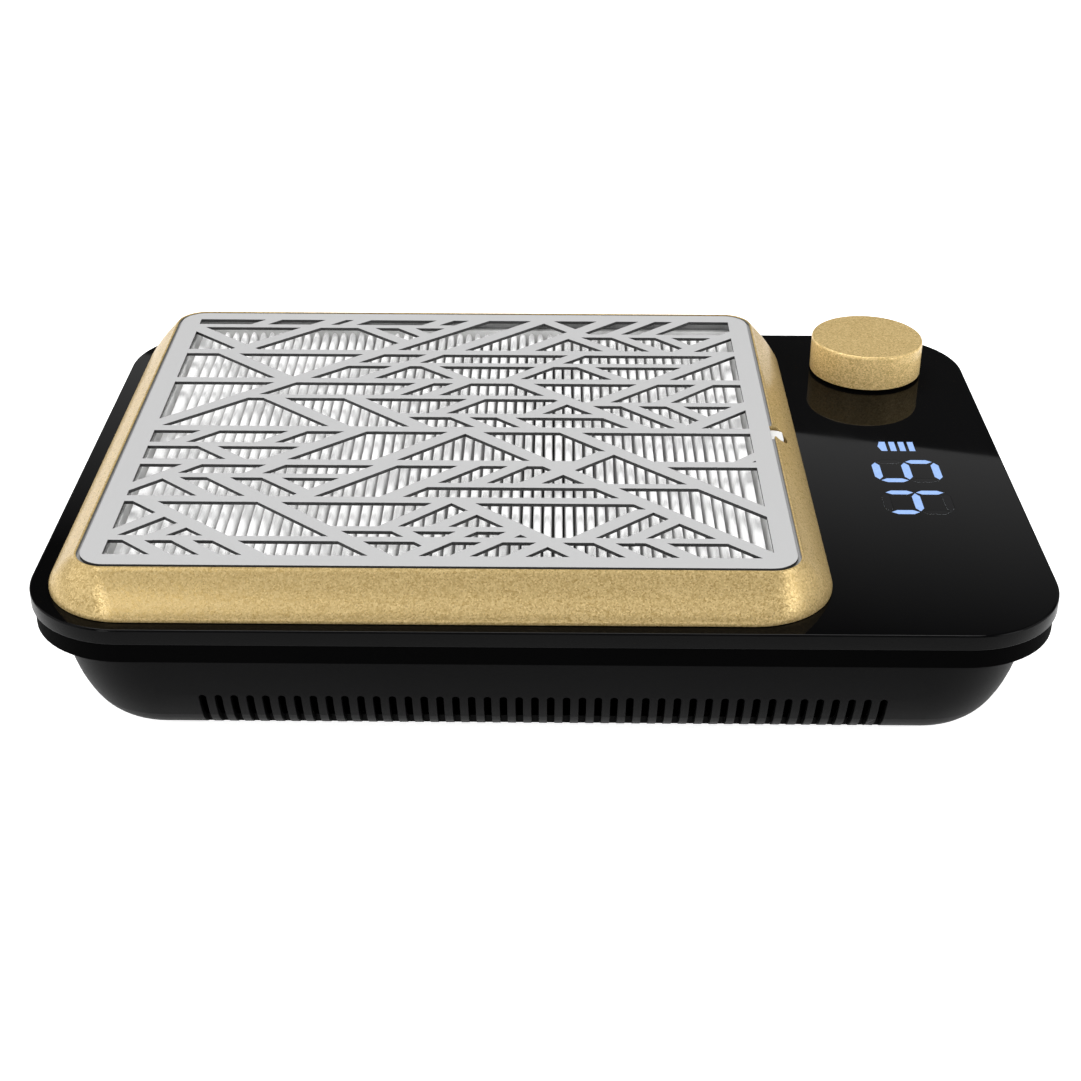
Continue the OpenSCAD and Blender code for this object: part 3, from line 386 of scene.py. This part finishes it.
def paper(name):
    """White paper with pressed fibres and a translucent share; it also glows by painted light, faintly in
    the valleys and most just under the crests.
    """
    s = Shader(name, Roughness=0.85, IOR=1.4)
    fibre = s.noise(1.6, 5, 0.7, s.stretched(1, 0.35, 1))
    cloud = s.noise(0.12, 3, 0.6)
    tone = s.mix(s.span(fibre, 0.3, 0.7), (0.80, 0.80, 0.80), (0.93, 0.93, 0.925))
    s.set(Base_Color=s.mix(s.span(cloud, 0.35, 0.75, 0, 0.25), tone, (0.84, 0.84, 0.83)))
    s.bump(fibre, 0.12, 0.7)
    # Painted light: emission that grows with height, a painted highlight on the crests and painted shade in
    # the valleys.
    painted_glow_low = PAPER_HIGH.z - 5
    painted_glow_high = PAPER_HIGH.z - 0.8
    s.set(Emission_Color=tone, Emission_Strength=s.span(s.axis("Z"), painted_glow_low, painted_glow_high, 0.02, 0.34))
    glow = s.tree.nodes.new("ShaderNodeBsdfTranslucent")
    glow.inputs["Color"].default_value = (0.92, 0.92, 0.92, 1)
    blend = s.tree.nodes.new("ShaderNodeMixShader")
    blend.inputs[0].default_value = 0.35
    s.link(s.bsdf.outputs[0], blend.inputs[1])
    s.link(glow.outputs[0], blend.inputs[2])
    s.link(blend.outputs[0], s.out.inputs[0])
    return s.material


def foam(name, low, high):
    """Closed-cell foam with open pores at the cut face."""
    s = Shader(name, Roughness=0.9)
    pores = s.cells(1.8, "Distance")
    s.set(Base_Color=s.mix(s.span(pores, 0, 0.5), low, high))
    s.bump(pores, 0.25, 0.8)
    return s.material


def rubber(name, low, high, rough=0.7):
    """Soft rubber with a dusty bloom."""
    s = Shader(name)
    fine = s.noise(3, 4, 0.65)
    bloom = s.noise(0.15, 3, 0.6)
    s.set(Base_Color=s.mix(s.span(bloom, 0.35, 0.7), low, high))
    s.set(Roughness=s.span(fine, 0.3, 0.7, rough - 0.08, rough + 0.1))
    s.bump(fine, 0.03, 0.6)
    return s.material


def circuit_board(name, mask, track):
    """Solder mask with copper tracks showing through it."""
    s = Shader(name, Coat_Weight=0.4, Coat_Roughness=0.15, Roughness=0.35)
    cell = s.cells(0.32, "Distance", feature="DISTANCE_TO_EDGE")
    line = s.span(cell, 0.02, 0.06, 1, 0)
    weave = s.noise(2.2, 2, 0.5)
    ground = s.mix(s.span(weave, 0.3, 0.7, 0, 0.4), mask, tuple(0.6 * c for c in mask))
    s.set(Base_Color=s.mix(line, ground, track))
    s.bump(line, 0.03, 0.6)
    return s.material


def lit_bar(name):
    """A light-blue display bar, its glow varying a little with a fine grain."""
    s = Shader(name, Base_Color=(0.03, 0.05, 0.10), Roughness=0.2, IOR=1.2)
    grain = s.noise(1.2, 2, 0.5)
    glow = s.mix(s.span(grain, 0.3, 0.7), (0.30, 0.47, 0.86), (0.38, 0.56, 0.96))
    s.set(Emission_Color=glow, Emission_Strength=1.0)
    return s.material


def unlit_bar(name):
    """A display bar that is switched off: smoked and only just visible."""
    s = Shader(name, Roughness=0.04, IOR=1.15)
    grain = s.noise(2, 2, 0.5)
    s.set(Base_Color=s.mix(grain, (0.0035, 0.0035, 0.004), (0.005, 0.005, 0.0055)))
    return s.material


def clear_plate(name):
    """Milky light guide."""
    s = Shader(name, Roughness=0.2, Transmission_Weight=0.3, IOR=1.49)
    cloud = s.noise(0.4, 3, 0.5)
    s.set(Base_Color=s.mix(cloud, (0.66, 0.72, 0.78), (0.8, 0.84, 0.88)))
    return s.material


def sleeve(name, low, high):
    """Shrink sleeve with faint wrinkles."""
    s = Shader(name, Coat_Weight=0.5, Coat_Roughness=0.1, Roughness=0.3)
    wrinkle = s.noise(0.5, 3, 0.6, s.stretched(1, 0.2, 1))
    s.set(Base_Color=s.mix(s.span(wrinkle, 0.3, 0.7), low, high))
    s.bump(wrinkle, 0.08, 0.4)
    return s.material


def insulation(name, low, high):
    """Extruded wire insulation with faint drawing lines."""
    s = Shader(name, Roughness=0.4)
    streak = s.noise(2.5, 3, 0.6)
    s.set(Base_Color=s.mix(s.span(streak, 0.3, 0.7), low, high))
    s.bump(streak, 0.02, 0.4)
    return s.material


# ---------------------------------------------------------------- shared sizes, in millimetres
# Places come from the frame; radii, gaps and the bay repeat the driving sizes of the CAD source.

DECK_LOW, DECK_HIGH = box_mm("deck_panel")
GOLD_LOW, GOLD_HIGH = box_mm("gold_frame")
GRILLE_LOW, GRILLE_HIGH = box_mm("grille")
KNOB_LOW, KNOB_HIGH = box_mm("speed_knob")
GUIDE_LOW, GUIDE_HIGH = box_mm("display_guide")
PAPER_LOW, PAPER_HIGH = box_mm("filter_paper")
DECK_Z = DECK_HIGH.z
DECK_R = 35
KNOB_X = (KNOB_LOW.x + KNOB_HIGH.x) / 2
KNOB_Y = (KNOB_LOW.y + KNOB_HIGH.y) / 2
KNOB_HOLE_R = 8
GUIDE_T = 2
BAY_X = (GRILLE_LOW.x + GRILLE_HIGH.x) / 2
GRILLE_GAP = 1.2
GRILLE_R = 9
OPEN_W = GRILLE_HIGH.x - GRILLE_LOW.x + 2 * GRILLE_GAP
OPEN_D = GRILLE_HIGH.y - GRILLE_LOW.y + 2 * GRILLE_GAP
OPEN_R = GRILLE_R + GRILLE_GAP
BAY_W = 224
BAY_D = 200
BAY_R = 6
GOLD_R = 28
GOLD_RIM = 0.8
GOLD_LIP = 2
NOTCH_Y = -3
NOTCH_R = 5.5
NOTCH_LOW_Z = 60.5
PLEAT_PITCH = 3.7


# ---------------------------------------------------------------- display shapes
# The digits are read from the right: their up is -X and their right is +Y.

DISPLAY_X = 133
TENS_Y = -30.5
UNITS_Y = -6.2
DIGIT_H = 25
DIGIT_W = 18
BAR_W = 3.2
BAR_GAP = 0.9
BAR_INSET = 0.15
END_GAP = 0.25
WINDOW_GAP = 0.1
ICON_GAP = 1.3
ICON_TIP = 1.0
ICON_SHIFT = 0.2
ICON_Y = 14
ICON_L = 14
ICON_W = 7.6
LIT_TENS = "fgbc"
LIT_UNITS = "afgcd"


def bar_outline(cx, cy, length, along_x, grow):
    """A pointed display bar with its middle at cx, cy."""
    h = length / 2 - END_GAP
    t = BAR_W / 2 - BAR_INSET
    taper = 1.5 * t
    outline = [(-h - grow, 0), (-h + taper, -t - grow), (h - taper, -t - grow),
               (h + grow, 0), (h - taper, t + grow), (-h + taper, t + grow)]
    if along_x:
        return [(cx + u, cy + v) for u, v in outline]
    return [(cx - v, cy + u) for u, v in outline]


def digit_outlines(y, grow):
    """The seven bars of a digit by letter; the reader's up is -X and right is +Y."""
    tall = DIGIT_H / 2 - BAR_W / 2 - BAR_GAP / 2
    wide = DIGIT_W - BAR_W - BAR_GAP
    mid = (DIGIT_H - BAR_W) / 2
    side = (DIGIT_W - BAR_W) / 2
    spots = {"a": (-mid, 0, wide, False), "g": (0, 0, wide, False), "d": (mid, 0, wide, False),
             "f": (-mid / 2, -side, tall, True), "b": (-mid / 2, side, tall, True),
             "e": (mid / 2, -side, tall, True), "c": (mid / 2, side, tall, True)}
    return {k: bar_outline(DISPLAY_X + u, y + v, length, along, grow)
            for k, (u, v, length, along) in spots.items()}


def icon_outlines(grow):
    """The four blocks of the battery mark, the first one pointed."""
    step = ICON_L / 4
    start = DISPLAY_X - ICON_L / 2 + ICON_SHIFT
    half = ICON_W / 2 + grow
    blocks = []
    for i in range(1, 4):
        x0 = start + i * step - grow
        x1 = x0 + step - ICON_GAP + 2 * grow
        blocks.append([(x0, ICON_Y - half), (x1, ICON_Y - half),
                       (x1, ICON_Y + half), (x0, ICON_Y + half)])
    tip = start - ICON_TIP
    root = start + step - ICON_GAP + grow
    blocks.append([(tip - grow, ICON_Y), (start, ICON_Y - half), (root, ICON_Y - half),
                   (root, ICON_Y + half), (start, ICON_Y + half)])
    return blocks


def display_outlines(grow):
    """Every display shape with True where it is lit."""
    shapes = []
    for y, lit in ((TENS_Y, LIT_TENS), (UNITS_Y, LIT_UNITS)):
        for letter, outline in digit_outlines(y, grow).items():
            shapes.append((outline, letter in lit))
    shapes.extend((outline, True) for outline in icon_outlines(grow))
    return shapes


# ---------------------------------------------------------------- pieces

def plate_with_holes(bm, outer, holes, z_top, z_low):
    """Fills a level face between an outer loop and its holes, and walls the holes down to z_low."""
    loops = [outer] + [add_ring(bm, hole, z_top) for hole in holes]
    edges = []
    for loop in loops:
        for i, vert in enumerate(loop):
            after = loop[(i + 1) % len(loop)]
            edges.append(bm.edges.get((vert, after)) or bm.edges.new((vert, after)))
    bmesh.ops.triangle_fill(bm, use_beauty=True, use_dissolve=False, edges=edges)
    for hole, top in zip(holes, loops[1:]):
        bridge(bm, add_ring(bm, hole, z_low), top)


def build_deck_panel():
    """The glossy panel with a rounded edge, the bay, the knob hole and the display windows."""
    bm = bmesh.new()
    width = DECK_HIGH.x - DECK_LOW.x
    depth = DECK_HIGH.y - DECK_LOW.y
    top_round = 0.7
    low_round = 0.5
    low_steps = 4
    flat_margin = 0.6
    profile = arc((-low_round, DECK_LOW.z + low_round), low_round, -90, 0, low_steps)
    profile += arc((-top_round, DECK_Z - top_round), top_round, 0, 90, 8)
    profile.append((-top_round - flat_margin, DECK_Z))
    rings = []
    for offset, z in profile:
        ring = rounded_ring(width + 2 * offset, depth + 2 * offset, DECK_R + offset, (0, 0), 32)
        rings.append(add_ring(bm, ring, z))
    side_top = low_steps + 1
    loft(bm, rings[:side_top + 1], material=1)
    loft(bm, rings[side_top:])
    bm.faces.new(list(reversed(rings[0]))).material_index = 1
    holes = [rounded_ring(BAY_W, BAY_D, BAY_R, (BAY_X, 0), 8)]
    holes.append(circle((KNOB_X, KNOB_Y), KNOB_HOLE_R, 48))
    holes += [outline for outline, lit in display_outlines(WINDOW_GAP)]
    plate_with_holes(bm, rings[-1], holes, DECK_Z, DECK_LOW.z)
    finishes = [gloss_black("panel_gloss"), satin_black("panel_edge", 0.0012, 0.3, 4, 0.07)]
    return make_object("deck_panel_gloss", bm, "case", "deck_panel", finishes, 50)


def build_display():
    """The light guide: a milky plate with raised bars, lit or dark."""
    bm = bmesh.new()
    sink = 0.05
    plate_top = GUIDE_LOW.z + GUIDE_T
    ring = rounded_ring(GUIDE_HIGH.x - GUIDE_LOW.x, GUIDE_HIGH.y - GUIDE_LOW.y, 1.5,
                        (DISPLAY_X, (GUIDE_LOW.y + GUIDE_HIGH.y) / 2), 5)
    low = add_ring(bm, ring, GUIDE_LOW.z)
    high = add_ring(bm, ring, plate_top)
    bridge(bm, low, high)
    bm.faces.new(list(reversed(low)))
    bm.faces.new(high)
    for outline, lit in display_outlines(0):
        index = 1 if lit else 2
        foot = add_ring(bm, outline, plate_top - sink)
        top = add_ring(bm, outline, DECK_Z)
        bridge(bm, foot, top)
        bm.faces.new(list(reversed(foot)))
        bm.faces.new(top).material_index = index
    finishes = [clear_plate("guide_milky"), lit_bar("bar_lit"), unlit_bar("bar_off")]
    return make_object("display_bars", bm, "case", "display_guide", finishes, 30)


def grown(size, by, z):
    """A (width, depth, corner radius) size grown on every side, with its height."""
    width, depth, radius = size
    return width + 2 * by, depth + 2 * by, radius + by, z


def gold_sections():
    """Rings of the gold frame from its foot, over the rim and down the bay, with the first inner one."""
    base = (GOLD_HIGH.x - GOLD_LOW.x, GOLD_HIGH.y - GOLD_LOW.y, GOLD_R)
    rim = (OPEN_W + 2 * GOLD_RIM, OPEN_D + 2 * GOLD_RIM, OPEN_R + GOLD_RIM)
    opening = (OPEN_W, OPEN_D, OPEN_R)
    bay = (BAY_W, BAY_D, BAY_R)
    lip_z = DECK_Z + GOLD_LIP
    top_z = GOLD_HIGH.z
    ledge_z = GRILLE_LOW.z
    rim_edge = 0.35
    edge_break = 0.3
    bulge = 0.8
    steps = 14
    sections = [grown(base, -edge_break, DECK_Z), grown(base, 0, DECK_Z + edge_break),
                grown(base, 0, lip_z - 0.6),
                (base[0] - 0.25, base[1] - 0.25, base[2] - 0.1, lip_z - 0.15)]
    for i in range(1, steps):
        t = i / steps
        size = [low + (high - low) * t for low, high in zip(base, rim)]
        dome = bulge * math.sin(math.pi * t)
        sections.append(grown(size, dome, lip_z + (top_z - rim_edge - lip_z) * t))
    sections += [grown(rim, 0, top_z - rim_edge), grown(rim, -0.1, top_z - 0.1), grown(rim, -0.25, top_z)]
    sections += [grown(opening, 0.2, top_z), grown(opening, 0.05, top_z - 0.1)]
    inner = len(sections)
    sections += [grown(opening, 0, top_z - rim_edge), grown(opening, 0, ledge_z)]
    sections += [grown(bay, edge_break, ledge_z), grown(bay, 0, ledge_z - edge_break), grown(bay, 0, DECK_Z)]
    return sections, inner


def build_gold_frame():
    """The sloped frame: upright lip, softly domed slope, thin rim and the ledge inside."""
    bm = bmesh.new()
    sections, inner = gold_sections()
    rings = []
    for width, depth, radius, z in sections:
        rings.append(add_ring(bm, rounded_ring(width, depth, radius, (BAY_X, 0), 28), z))
    loft(bm, rings[:inner + 1])
    # The inner wall, the ledge, the bay wall and the foot take the grey wall finish: painted shade in the
    # gap round the grille.
    loft(bm, rings[inner:], material=1)
    bridge(bm, rings[-1], rings[0], 1)
    finishes = [gold_paint("gold_flake_frame", 0.92), painted_shade_wall("frame_inside_shade", 0.3)]
    obj = make_object("gold_frame_shell", bm, "case", "gold_frame", finishes, 28)
    cut_notch(obj)
    return obj


def cut_notch(obj):
    """Cuts the finger notch out of the right side of the gold frame."""
    bm = bmesh.new()
    outline = circle((BAY_X + OPEN_W / 2, NOTCH_Y), NOTCH_R, 64)
    low = add_ring(bm, outline, NOTCH_LOW_Z)
    high = add_ring(bm, outline, GOLD_HIGH.z + 2)
    bridge(bm, low, high)
    bm.faces.new(list(reversed(low)))
    bm.faces.new(high)
    bmesh.ops.scale(bm, vec=(MM, MM, MM), verts=bm.verts)
    mesh = bpy.data.meshes.new("notch_cutter")
    bm.to_mesh(mesh)
    bm.free()
    cutter = bpy.data.objects.new("notch_cutter", mesh)
    bpy.context.scene.collection.objects.link(cutter)
    modifier = obj.modifiers.new("notch", "BOOLEAN")
    modifier.object = cutter
    modifier.operation = "DIFFERENCE"
    modifier.solver = "EXACT"
    bake_modifiers(obj)
    bpy.data.objects.remove(cutter)


def bake_modifiers(obj):
    """Replaces an object's mesh by the result of its modifiers."""
    graph = bpy.context.evaluated_depsgraph_get()
    mesh = bpy.data.meshes.new_from_object(obj.evaluated_get(graph))
    obj.modifiers.clear()
    obj.data = mesh


def paint_side_lighter(bm):
    """Gives the upright faces the second material: a paler copy of the gold paint, painted light that lifts
    the side to the brightness of the top.
    """
    upright = 0.7
    bm.normal_update()
    for face in bm.faces:
        if abs(face.normal.z) < upright:
            face.material_index = 1


def build_knob():
    """The turned knob: crisp side, rounded top edge, hollow underneath with a boss."""
    bm = bmesh.new()
    radius = (KNOB_HIGH.x - KNOB_LOW.x) / 2
    low = KNOB_LOW.z
    top = KNOB_HIGH.z
    fillet = 1.1
    foot = 0.4
    axis_r = 0.01
    bore_r = 3.0
    boss_r = 6.0
    inner_r = radius - 2
    boss_z = low + 1
    roof = top - 2.5
    cut = 0.3
    draft = 0.02
    profile = [(radius - foot - 0.6, low)]
    profile += arc((radius - foot, low + foot), foot, -90, 0, 4)
    profile += arc((radius - fillet, top - fillet), fillet, 0, 90, 10)
    profile += [(radius * part, top) for part in (0.75, 0.5, 0.25, 0.01)]
    profile += [(axis_r, roof), (bore_r, roof)]
    profile += [(bore_r + draft, boss_z + cut), (bore_r + cut, boss_z)]
    profile += [(boss_r - cut, boss_z), (boss_r, boss_z + cut), (boss_r, roof)]
    profile += [(inner_r - 0.5, roof), (inner_r, roof - 0.5), (inner_r, low + cut), (inner_r + cut, low)]
    lathe(bm, profile, (KNOB_X, KNOB_Y), 128)
    paint_side_lighter(bm)
    # The side is a paler, less metallic copy of the gold: painted light on the upright faces.
    paints = [gold_paint("gold_flake_knob", 1.0), gold_paint("gold_flake_knob_side_painted_light", 1.42, 0.05)]
    return make_object("speed_knob_turned", bm, "knob", "speed_knob", paints, 40)


def pleat_columns(count):
    """(pleat, x, height share) of each fold line; the two outer flanks run flat to the wall."""
    half_shape = [(0.0, 1.0), (0.12, 0.99), (0.24, 0.95), (0.31, 0.84), (0.37, 0.45), (0.44, 0.03)]
    shape = [(-0.5, 0.0)]
    shape += [(-u, share) for u, share in reversed(half_shape[1:])]
    shape += half_shape
    columns = []
    for i in range(count):
        for u, share in shape:
            flat_end = (i == 0 and u < 0) or (i == count - 1 and u > 0)
            columns.append((i, PAPER_LOW.x + (i + 0.5 + u) * PLEAT_PITCH, 1.0 if flat_end else share))
    columns.append((count - 1, PAPER_HIGH.x, 1.0))
    return columns


def fold_point(x, y, share, phase, low, high):
    """A point of the sheet, swayed sideways and dipped by two slow waves of the pleat's own phase."""
    a, b = phase
    end_run = 1.5
    dip_share = 0.8
    sway = 0.09 * math.sin(y / 17 + a) + 0.04 * math.sin(y / 6.1 + b)
    dip = 0.2 * (0.5 + 0.5 * math.sin(y / 23 + b)) + 0.05 * math.sin(y / 4.3 + a)
    edge = min(x - PAPER_LOW.x, PAPER_HIGH.x - x, end_run) / end_run
    z = low + (high - low - max(dip, 0) * dip_share) * share
    return x + sway * share * edge, y, z


def build_paper():
    """The pleated sheet, with soft folds that wander slightly along their length."""
    random.seed(7)
    bm = bmesh.new()
    count = int((PAPER_HIGH.x - PAPER_LOW.x) / PLEAT_PITCH + 0.5)
    rows = 44
    sheet = 0.25
    turn = 6.28
    low = PAPER_LOW.z + 0.8
    high = PAPER_HIGH.z - 0.35
    phases = [(random.uniform(0, turn), random.uniform(0, turn)) for _ in range(2 * count + 1)]
    columns = pleat_columns(count)
    grid = []
    for k in range(rows + 1):
        y = PAPER_LOW.y + (PAPER_HIGH.y - PAPER_LOW.y) * k / rows
        line = [bm.verts.new(fold_point(x, y, share, phases[i], low, high)) for i, x, share in columns]
        grid.append(line)
    for first, second in zip(grid, grid[1:]):
        for j in range(len(first) - 1):
            bm.faces.new((first[j], first[j + 1], second[j + 1], second[j]))
    obj = make_object("filter_paper_pleats", bm, "filter", "filter_paper", [paper("pleat_paper")], 80)
    thick = obj.modifiers.new("thick", "SOLIDIFY")
    thick.thickness = sheet * MM
    thick.offset = 0
    return obj


# ---------------------------------------------------------------- CAD nodes kept, with finishes

def dress(node, material, bevel=0.0, segments=2):
    """Gives a CAD node its finish and, if asked, rounded edges."""
    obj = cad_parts[node]
    obj.data.materials.clear()
    obj.data.materials.append(material)
    if bevel:
        add_modifiers(node, bevel, segments)
    return obj


def dress_grille():
    """Silver faces, a painted highlight of brighter silver on the broken edges, and painted shade on the cut
    walls.
    """
    obj = dress("grille", silver_face("grille_face"))
    obj.data.materials.append(silver_edge_highlight("grille_edge_highlight"))
    obj.data.materials.append(painted_shade_wall("grille_wall_shade", 0.045))
    # The upright cut walls take the dark wall finish: painted shade.
    upright = 0.5
    for face in obj.data.polygons:
        if abs(face.normal.z) < upright:
            face.material_index = 2
    # The bevel faces take the brighter edge silver: a painted highlight.
    add_modifiers("grille", 0.16, material=1)


def dress_nodes():
    """Finishes of the nodes that keep their CAD shape."""
    dark = (0.02, 0.02, 0.022)
    steel = (0.48, 0.48, 0.50)
    pale_steel = (0.68, 0.68, 0.70)
    dress("case_base", satin_black("case_satin", 0.002, 0.45, 4, 0.05))
    dress("upper_frame", satin_black("band_satin", 0.0008, 0.65, 4, 0.01))
    dress("grille_magnets", metal("magnet_nickel", pale_steel, (0.8, 0.8, 0.82), 0.2), 0.15)
    cassette = moulding("cassette_white", (0.78, 0.78, 0.77), (0.86, 0.86, 0.85))
    dress("filter_cassette", cassette, 0.3)
    dress("filter_seal", foam("seal_foam", (0.03, 0.03, 0.03), (0.09, 0.09, 0.09)), 0.3)
    dress("filter_tray", satin_black("tray_satin", 0.018, 0.45, 3.0), 0.3)
    dress("impeller", moulding("impeller_grey", (0.035, 0.035, 0.038), (0.05, 0.05, 0.053)), 0.25)
    dress("rotor_can", metal("can_steel", steel, pale_steel, 0.28), 0.3)
    dress("rotor_magnets", rubber("magnet_ring", (0.05, 0.05, 0.052), (0.09, 0.09, 0.09), 0.55), 0.15)
    dress("motor_shaft", metal("shaft_steel", pale_steel, (0.8, 0.8, 0.82), 0.18), 0.3)
    dress("motor_base", metal("base_cast", (0.38, 0.38, 0.40), (0.52, 0.52, 0.54), 0.4), 0.3)
    dress("stator", metal("stator_copper", (0.60, 0.25, 0.09), (0.80, 0.38, 0.16), 0.3), 0.2)
    dress("bearings", metal("bearing_steel", pale_steel, (0.85, 0.85, 0.87), 0.15), 0.2)
    dress("pot_shaft", metal("pot_shaft_steel", pale_steel, (0.8, 0.8, 0.82), 0.2), 0.3)
    dress("pot_body", moulding("pot_green", (0.03, 0.10, 0.06), (0.05, 0.14, 0.09)), 0.4)
    dress("pot_nut", metal("nut_nickel", pale_steel, (0.82, 0.82, 0.83), 0.22), 0.2)
    dress("display_board", circuit_board("board_green", (0.012, 0.10, 0.04), (0.05, 0.22, 0.09)), 0.1)
    dress("display_leds", moulding("led_lens", (0.80, 0.78, 0.60), (0.92, 0.90, 0.75), 0.2), 0.15)
    dress("power_board", circuit_board("board_blue", (0.01, 0.05, 0.16), (0.03, 0.13, 0.30)), 0.1)
    dress("power_parts", moulding("parts_black", dark, (0.05, 0.05, 0.05), 0.35), 0.3)
    dress("dc_inlet", moulding("inlet_black", dark, (0.03, 0.03, 0.03), 0.3), 0.3)
    dress("battery_cells", sleeve("cell_sleeve", (0.02, 0.10, 0.36), (0.03, 0.14, 0.45)), 0.6)
    dress("battery_holder", satin_black("holder_satin", 0.02, 0.45), 0.3)
    dress("cell_links", metal("link_nickel", (0.62, 0.62, 0.58), (0.76, 0.76, 0.72), 0.28), 0.05)
    dress("feet", rubber("foot_rubber", (0.015, 0.015, 0.015), (0.035, 0.035, 0.035)), 0.8, 3)
    for node in ("case_screws", "tray_screws", "motor_screws", "board_screws"):
        dress(node, metal(node + "_zinc", steel, pale_steel, 0.3), 0.15)
    dress("motor_lead", insulation("motor_lead_red", (0.40, 0.02, 0.02), (0.55, 0.04, 0.03)))
    dress("battery_lead", insulation("battery_lead_red", (0.45, 0.02, 0.02), (0.6, 0.04, 0.03)))
    dress("inlet_lead", insulation("inlet_lead_black", (0.015, 0.015, 0.015), (0.03, 0.03, 0.03)))
    dress("display_lead", insulation("display_lead_grey", (0.5, 0.5, 0.5), (0.62, 0.62, 0.62)))
    dress_grille()


# ---------------------------------------------------------------- studio

def emission_material(name):
    """A white glowing surface, and the node that takes its strength."""
    material = bpy.data.materials.new(name)
    material.use_nodes = True
    tree = material.node_tree
    tree.nodes.clear()
    out = tree.nodes.new("ShaderNodeOutputMaterial")
    glow = tree.nodes.new("ShaderNodeEmission")
    glow.inputs["Color"].default_value = (1, 1, 1, 1)
    tree.links.new(glow.outputs[0], out.inputs[0])
    return material, glow


def stage_quad(name, corners, material):
    """A flat four-cornered stage surface in metres."""
    mesh = bpy.data.meshes.new(name)
    mesh.from_pydata(corners, [], [(0, 1, 2, 3)])
    mesh.materials.append(material)
    obj = bpy.data.objects.new(name, mesh)
    bpy.context.scene.collection.objects.link(obj)
    return obj


def build_floor():
    """A pale floor just under the feet; it glows a little, so that the shadow stays faint."""
    s = Shader("floor_pale", Roughness=0.95, Specular_IOR_Level=0.0)
    tone = s.noise(0.002, 2, 0.5)
    s.set(Base_Color=s.mix(tone, (0.80, 0.80, 0.80), (0.82, 0.82, 0.82)))
    s.set(Emission_Color=(1, 1, 1), Emission_Strength=0.85)
    half = 6
    z = -0.0001
    corners = [(-half, -half, z), (half, -half, z), (half, half, z), (-half, half, z)]
    return stage_quad("floor", corners, s.material)


def build_card():
    """A pale card behind, whose slanted lower edge draws the line across the glossy panel."""
    material, glow = emission_material("card_glow")
    tree = material.node_tree
    slope = 0.126
    near = 0.64
    far = near + 0.26
    bright = 0.95
    dim = 0.02
    coords = tree.nodes.new("ShaderNodeTexCoord")
    split = tree.nodes.new("ShaderNodeSeparateXYZ")
    level = tree.nodes.new("ShaderNodeMath")
    level.operation = "MULTIPLY_ADD"
    level.inputs[1].default_value = -slope
    fade = tree.nodes.new("ShaderNodeMapRange")
    for key, value in (("From Min", near), ("From Max", far), ("To Min", bright), ("To Max", dim)):
        fade.inputs[key].default_value = value
    tree.links.new(coords.outputs["Object"], split.inputs[0])
    tree.links.new(split.outputs["X"], level.inputs[0])
    tree.links.new(split.outputs["Z"], level.inputs[2])
    tree.links.new(level.outputs[0], fade.inputs["Value"])
    tree.links.new(fade.outputs[0], glow.inputs["Strength"])
    half = 1.6
    back = 1.3
    top = 1.4
    corners = [(-half, back, near - slope * half), (half, back, near + slope * half),
               (half, back, top), (-half, back, top)]
    return stage_quad("card", corners, material)


def area_light(name, place, target, width, height, power):
    """A white rectangular lamp aimed at a target."""
    data = bpy.data.lights.new(name, "AREA")
    data.shape = "RECTANGLE"
    data.size = width
    data.size_y = height
    data.energy = power
    light = bpy.data.objects.new(name, data)
    light.location = place
    aim = Vector(target) - Vector(place)
    light.rotation_euler = aim.to_track_quat("-Z", "Y").to_euler()
    bpy.context.scene.collection.objects.link(light)


def build_lights():
    """Lamps and a dim world; name, place, target, width, height and watts of each lamp."""
    area_light("overhead", (-0.1, 0.65, 1.6), (0, 0, 0), 1.5, 1.0, 28)
    area_light("front", (0, -1.35, 0.85), (0, 0, 0.05), 1.6, 0.12, 2.2)
    area_light("side_left", (-1.4, -0.2, 0.75), (0, 0, 0.05), 1.6, 1.2, 9)
    area_light("side_right", (1.4, -0.2, 0.75), (0, 0, 0.05), 1.6, 1.2, 8)
    area_light("strip_left", (-0.72, -1.17, 0.62), (-0.1, -0.1, 0.05), 0.22, 0.9, 5)
    area_light("strip_right", (1.1, -0.72, 0.5), (0.1, 0, 0.05), 0.5, 0.8, 4.5)
    world = bpy.data.worlds.new("studio")
    world.use_nodes = True
    background = world.node_tree.nodes["Background"]
    background.inputs["Color"].default_value = (1, 1, 1, 1)
    background.inputs["Strength"].default_value = 0.07
    bpy.context.scene.world = world
    bpy.context.scene.view_settings.view_transform = "Standard"


def build_camera():
    """The photograph's viewpoint: low in front, looking down a little."""
    data = bpy.data.cameras.new("camera")
    data.sensor_width = 36
    data.lens = 62.58
    tilt = math.radians(60.614)
    roll = math.radians(-0.174)
    turn = math.radians(0.466)
    camera = bpy.data.objects.new("camera", data)
    camera.location = (0.0023, -0.62195, 0.3684)
    camera.rotation_euler = (tilt, roll, turn)
    bpy.context.scene.collection.objects.link(camera)
    bpy.context.scene.camera = camera


dress_nodes()
build_deck_panel()
build_display()
build_gold_frame()
build_knob()
build_paper()
build_floor()
build_card()
build_lights()
build_camera()
